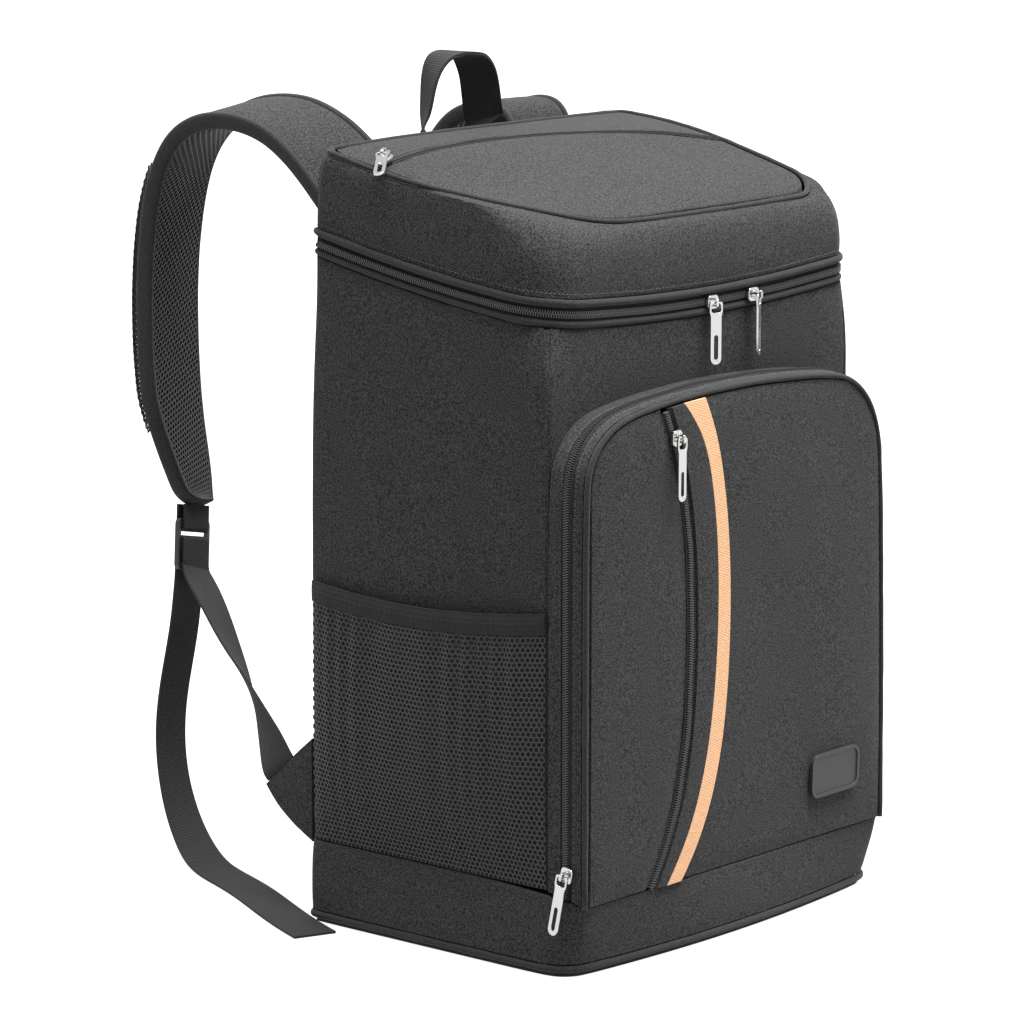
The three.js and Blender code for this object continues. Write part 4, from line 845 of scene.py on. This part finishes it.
def bilinear(field, rows, columns, row, column):
    """A field's value between its stations"""
    i = np.clip((row - rows[0]) / (rows[1] - rows[0]), 0, len(rows) - 1.001)
    j = np.clip((column - columns[0]) / (columns[1] - columns[0]), 0, len(columns) - 1.001)
    i0, j0 = i.astype(int), j.astype(int)
    i, j = i - i0, j - j0
    low = field[i0, j0] * (1 - j) + field[i0, j0 + 1] * j
    high = field[i0 + 1, j0] * (1 - j) + field[i0 + 1, j0 + 1] * j
    return low * (1 - i) + high * i


def net_folds(share, rise, seed):
    """How far the net stands out, by its share of the way to the front and of the way up"""
    phase = NET_FOLDS * share + 0.9 * np.sin(3 * share * np.pi + seed) + 0.25 * rise
    fold = np.cos(2 * np.pi * phase) * (FOLD_LOW + FOLD_GAIN * rise**1.5)
    beside = (share - 0.72 - 0.16 * (1 - rise)) / LONG_FOLD_WIDTH
    long_fold = LONG_FOLD_DEPTH * np.exp(-(beside**2)) * np.sin(np.pi * rise) ** 0.5
    gather = np.sin(np.pi * np.clip(share, 0, 1)) ** 0.5
    return gather * (fold - long_fold)


def band_ribs(points, seam):
    """The ribs along the elastic band and the fine gathers across it"""
    share = (NET_BACK - points[:, 1]) / NET_WIDTH
    level = (points[:, 2] - NET_HIGH - net_sag(share)) / BAND_HEIGHT
    rib = np.abs(np.sin(np.pi * level * BAND_RIBS)) ** 0.6 - 0.6
    shirr = np.cos(2 * np.pi * points[:, 1] / SHIRR_PITCH) * SHIRR_DEPTH
    return (rib * BAND_RIB_DEPTH + shirr) * (1 - seam)


def net_pocket(side_name, side, seed):
    """A folded net in place of a pocket's solid, and the band along its top"""
    ys = np.linspace(NET_FRONT + MM, NET_BACK - MM, NET_ROWS)
    zs = np.linspace(NET_LOW + MM, NET_GRID_TOP, NET_LEVELS)
    field = height_field(f"{side_name}_net_pocket", side, ys, zs)
    height = NET_HIGH - NET_LOW

    def spot(u, v):
        share = u / NET_WIDTH
        y = NET_BACK - u
        z = NET_LOW + v * (1 + net_sag(share) / height)
        folds = net_folds(share, np.clip(v / height, 0, 1), seed)
        out = bilinear(field, ys, zs, y, z) - NET_SINK + folds
        return np.stack([side * out, y, z], axis=1)

    def place(u, v):
        points = spot(u, v)
        step = 0.5 * MM
        du = spot(u + step, v) - points
        dv = spot(u, v + step) - points
        out = unit(np.cross(du, dv))
        out *= np.sign(out[:, :1] * side + 1e-9)
        return points, out

    net = net_mesh(place, NET_WIDTH, height, NET_PITCH, NET_STRAND, NET_DEPTH)
    piece = add_piece(f"{side_name}_net", net, NET, [f"{side_name}_net_pocket"])
    panel(f"{side_name}_net_band", 4, seed, 0.25, 0.2, 0.3, band_ribs, BAND)


net_pocket("left", -1, 81)
net_pocket("right", 1, 91)


# Shoulder straps: padding, spacer mesh on the inner side and a binding round both edges

PAD_THICKNESS = 8 * MM
PAD_INSET = 2.5 * MM
PAD_CROWN = 1.76 * MM
MESH_THICKNESS = 2.4 * MM
MESH_GAP = 0.3 * MM
LINING_SINK = 0.5 * MM
LINING_CROWN = 0.24 * MM
BINDING_WIDTH = 5.5 * MM
BINDING_REACH = 0.8 * MM
BINDING_SWELL = 0.6 * MM
SPACER_PITCH = 3.8 * MM
SPACER_STRAND = 0.9 * MM
SPACER_DEPTH = 0.7 * MM
SPACER_SINK = 0.25 * MM
STRAP_STATIONS = 160
SECTION_STATIONS = 14
EDGE_RISE = 0.12
STRAP_PLANES = {
    "left": fan((0.0, 0.195, 0.300), Y_AXIS, Z_AXIS, 156, -48, 150, X_AXIS),
    "right": fan((0.0, 0.160, 0.380), Y_AXIS, Z_AXIS, 200, -80, 150, X_AXIS),
}


def strap_frames(name, planes):
    """Centre, across, out and width along a strap, from its two edges"""
    edges = edge_lines(f"{name}_strap_pad", planes)
    first, second = (smoothed(spaced(smoothed(edge, 3), STRAP_STATIONS), 6) for edge in edges)
    centre = (first + second) / 2
    across = unit(second - first)
    along = unit(np.gradient(centre, axis=0))
    out = facing_away(unit(np.cross(across, along)), centre, planes[0][0])
    width = np.linalg.norm(second - first, axis=1)
    return centre, across, out, width


def crowned(width, low, high, crown):
    """A padded section from low to high, whose outer side falls by the crown to its edges"""
    upper, lower = [], []
    for share in np.linspace(-1, 1, SECTION_STATIONS):
        fall = abs(share) ** 4
        upper.append((share * width / 2, high - crown * fall))
        lower.append((share * width / 2, low + (high - low) * EDGE_RISE * fall))
    return upper + lower[::-1]


def strap(name):
    """A strap's padding, lining, spacer mesh and binding. Gives its centre, across, out and width"""
    centre, across, out, width = strap_frames(name, STRAP_PLANES[name])
    half = PAD_THICKNESS / 2
    inner = -half - MESH_GAP - MESH_THICKNESS
    narrow = width - PAD_INSET
    pad = sweep(centre, across, out, [crowned(w, -half, half, PAD_CROWN) for w in narrow])
    piece = add_piece(f"{name}_strap_padding", pad, CLOTH, [f"{name}_strap_pad"])
    levels = (inner + LINING_SINK, -half - MESH_GAP)
    lining = sweep(centre, across, out, [crowned(w, *levels, LINING_CROWN) for w in narrow])
    add_piece(f"{name}_strap_lining", lining, PADDING, [f"{name}_strap_mesh"])
    length = distances_along(centre)[-1]
    flat_width = float(narrow.mean())

    def on_lining(u, v):
        mixed = mixer(v, length, len(centre))
        spread = mixed(narrow[:, None])[:, 0] / flat_width
        offset = (u - flat_width / 2) * spread
        outward = unit(mixed(out))
        points = mixed(centre) + unit(mixed(across)) * offset[:, None]
        return points + outward * (inner + SPACER_SINK), -outward

    net = net_mesh(on_lining, flat_width, length, SPACER_PITCH, SPACER_STRAND, SPACER_DEPTH)
    add_piece(f"{name}_strap_spacer", net, NET)
    middle = (half + inner) / 2
    section = oval(BINDING_WIDTH, half - inner + BINDING_SWELL, 3.0)
    bindings = []
    for side in (-1, 1):
        edge = centre + across * (side * (width / 2 - BINDING_WIDTH / 2 + BINDING_REACH))[:, None]
        bindings.append(sweep(edge + out * middle, across, out, section))
    add_piece(f"{name}_strap_binding", joined(bindings), PIPING)
    return centre, across, out, width


LEFT_STRAP = strap("left")
strap("right")

# The net sleeve on the outer face of the left strap
SLEEVE_SWELL = 7.2 * MM
SLEEVE_LIFT = 1.0 * MM
SLEEVE_PITCH = 3.0 * MM
SLEEVE_STRAND = 1.0 * MM
SLEEVE_DEPTH = 0.5 * MM
SLEEVE_TOP_GAP = 4 * MM
BEHIND_BAG = 0.25


def sleeve():
    """A domed net along the part of the left strap behind the bag that its solid covers"""
    centre, across, out, width = LEFT_STRAP
    low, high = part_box("strap_sleeve")
    heights = centre[:, 2]
    beside = (centre[:, 1] > BEHIND_BAG) & (heights > low[2]) & (heights < high[2] - SLEEVE_TOP_GAP)
    start, end = np.flatnonzero(beside)[[0, -1]]
    centre, across, out, width = (part[start : end + 1] for part in (centre, across, out, width))
    length = distances_along(centre)[-1]
    flat_width = float(width.mean())

    def place(u, v):
        mixed = mixer(v, length, len(centre))
        side = u / flat_width
        swell = np.sin(np.pi * np.clip(v / length, 0.02, 0.98)) ** 0.4
        dome = np.sin(np.pi * np.clip(side, 0.01, 0.99)) ** 0.4
        offset = (side - 0.5) * mixed(width[:, None])[:, 0]
        outward = unit(mixed(out))
        lift = PAD_THICKNESS / 2 + SLEEVE_LIFT + SLEEVE_SWELL * swell * dome
        points = mixed(centre) + unit(mixed(across)) * offset[:, None]
        return points + outward * lift[:, None], outward

    net = net_mesh(place, flat_width, length, SLEEVE_PITCH, SLEEVE_STRAND, SLEEVE_DEPTH)
    piece = add_piece("strap_sleeve_net", net, NET, ["strap_sleeve"])


sleeve()


# Webbing and buckles

def woven(name, node, material):
    """A piece of webbing or tape in place of its solid"""
    mesh, _ = smooth_copy(node, 3)
    add_piece(name, mesh, material, [node], sharp=40.0)


for node in ("handle", "left_adjuster", "right_adjuster", "left_strap_end", "right_strap_end"):
    woven(f"{node}_web", node, WEBBING)
woven("orange_tape", "orange_stripe", ORANGE)


def bevelled(node, material, width, segments=2):
    """A hard piece keeps its solid, with its edges rounded"""
    obj = NODES[node]
    obj.data.materials.clear()
    obj.data.materials.append(material)
    weld = obj.modifiers.new("weld", "WELD")
    weld.merge_threshold = 1e-5
    bevel = obj.modifiers.new("edges", "BEVEL")
    bevel.width = width
    bevel.segments = segments
    bevel.limit_method = "ANGLE"
    bevel.angle_limit = math.radians(35)
    obj.modifiers.new("normals", "WEIGHTED_NORMAL")


for side in ("left", "right"):
    bevelled(f"{side}_ladder_lock", PLASTIC, 0.8 * MM, 3)
for name in ("lid_left", "lid_right", "pocket", "slash", "top"):
    bevelled(f"{name}_slider", NICKEL, 0.4 * MM)
    bevelled(f"{name}_pull", NICKEL, 0.28 * MM)
bevelled("badge", RUBBER, 0.5 * MM, 3)


# Floor and light

FLOOR_HALF = 9.0
FLOOR_GLOW = 0.93


def backdrop():
    """A floor that glows nearly white and still takes the bag's shadow"""
    made = bpy.data.materials.new("white_floor")
    made.use_nodes = True
    shader = shader_of(made)
    shader.inputs["Base Color"].default_value = (0.12, 0.12, 0.12, 1.0)
    shader.inputs["Roughness"].default_value = 1.0
    shader.inputs["Specular IOR Level"].default_value = 0.0
    shader.inputs["Emission Color"].default_value = (1.0, 1.0, 1.0, 1.0)
    shader.inputs["Emission Strength"].default_value = FLOOR_GLOW
    corners = [(-1, -1, 0), (1, -1, 0), (1, 1, 0), (-1, 1, 0)]
    mesh = mesh_from(np.array(corners) * FLOOR_HALF, [(0, 1, 2, 3)])
    floor = bpy.data.objects.new("floor", mesh)
    mesh.materials.append(made)
    scene.collection.objects.link(floor)


def sun(name, direction, strength, spread):
    """A soft distant light that comes from a direction"""
    data = bpy.data.lights.new(name, "SUN")
    data.energy = strength
    data.angle = math.radians(spread)
    lamp = bpy.data.objects.new(name, data)
    lamp.rotation_euler = Vector(direction).to_track_quat("Z", "Y").to_euler()
    scene.collection.objects.link(lamp)


def white_world():
    """Even white light from all around"""
    world = bpy.data.worlds.new("white_world")
    world.use_nodes = True
    background = world.node_tree.nodes["Background"]
    background.inputs["Color"].default_value = (1.0, 1.0, 1.0, 1.0)
    background.inputs["Strength"].default_value = 1.0
    scene.world = world


backdrop()
sun("key", (0.10, -0.17, 0.96), 15.0, 45)
white_world()
scene.view_settings.view_transform = "Standard"
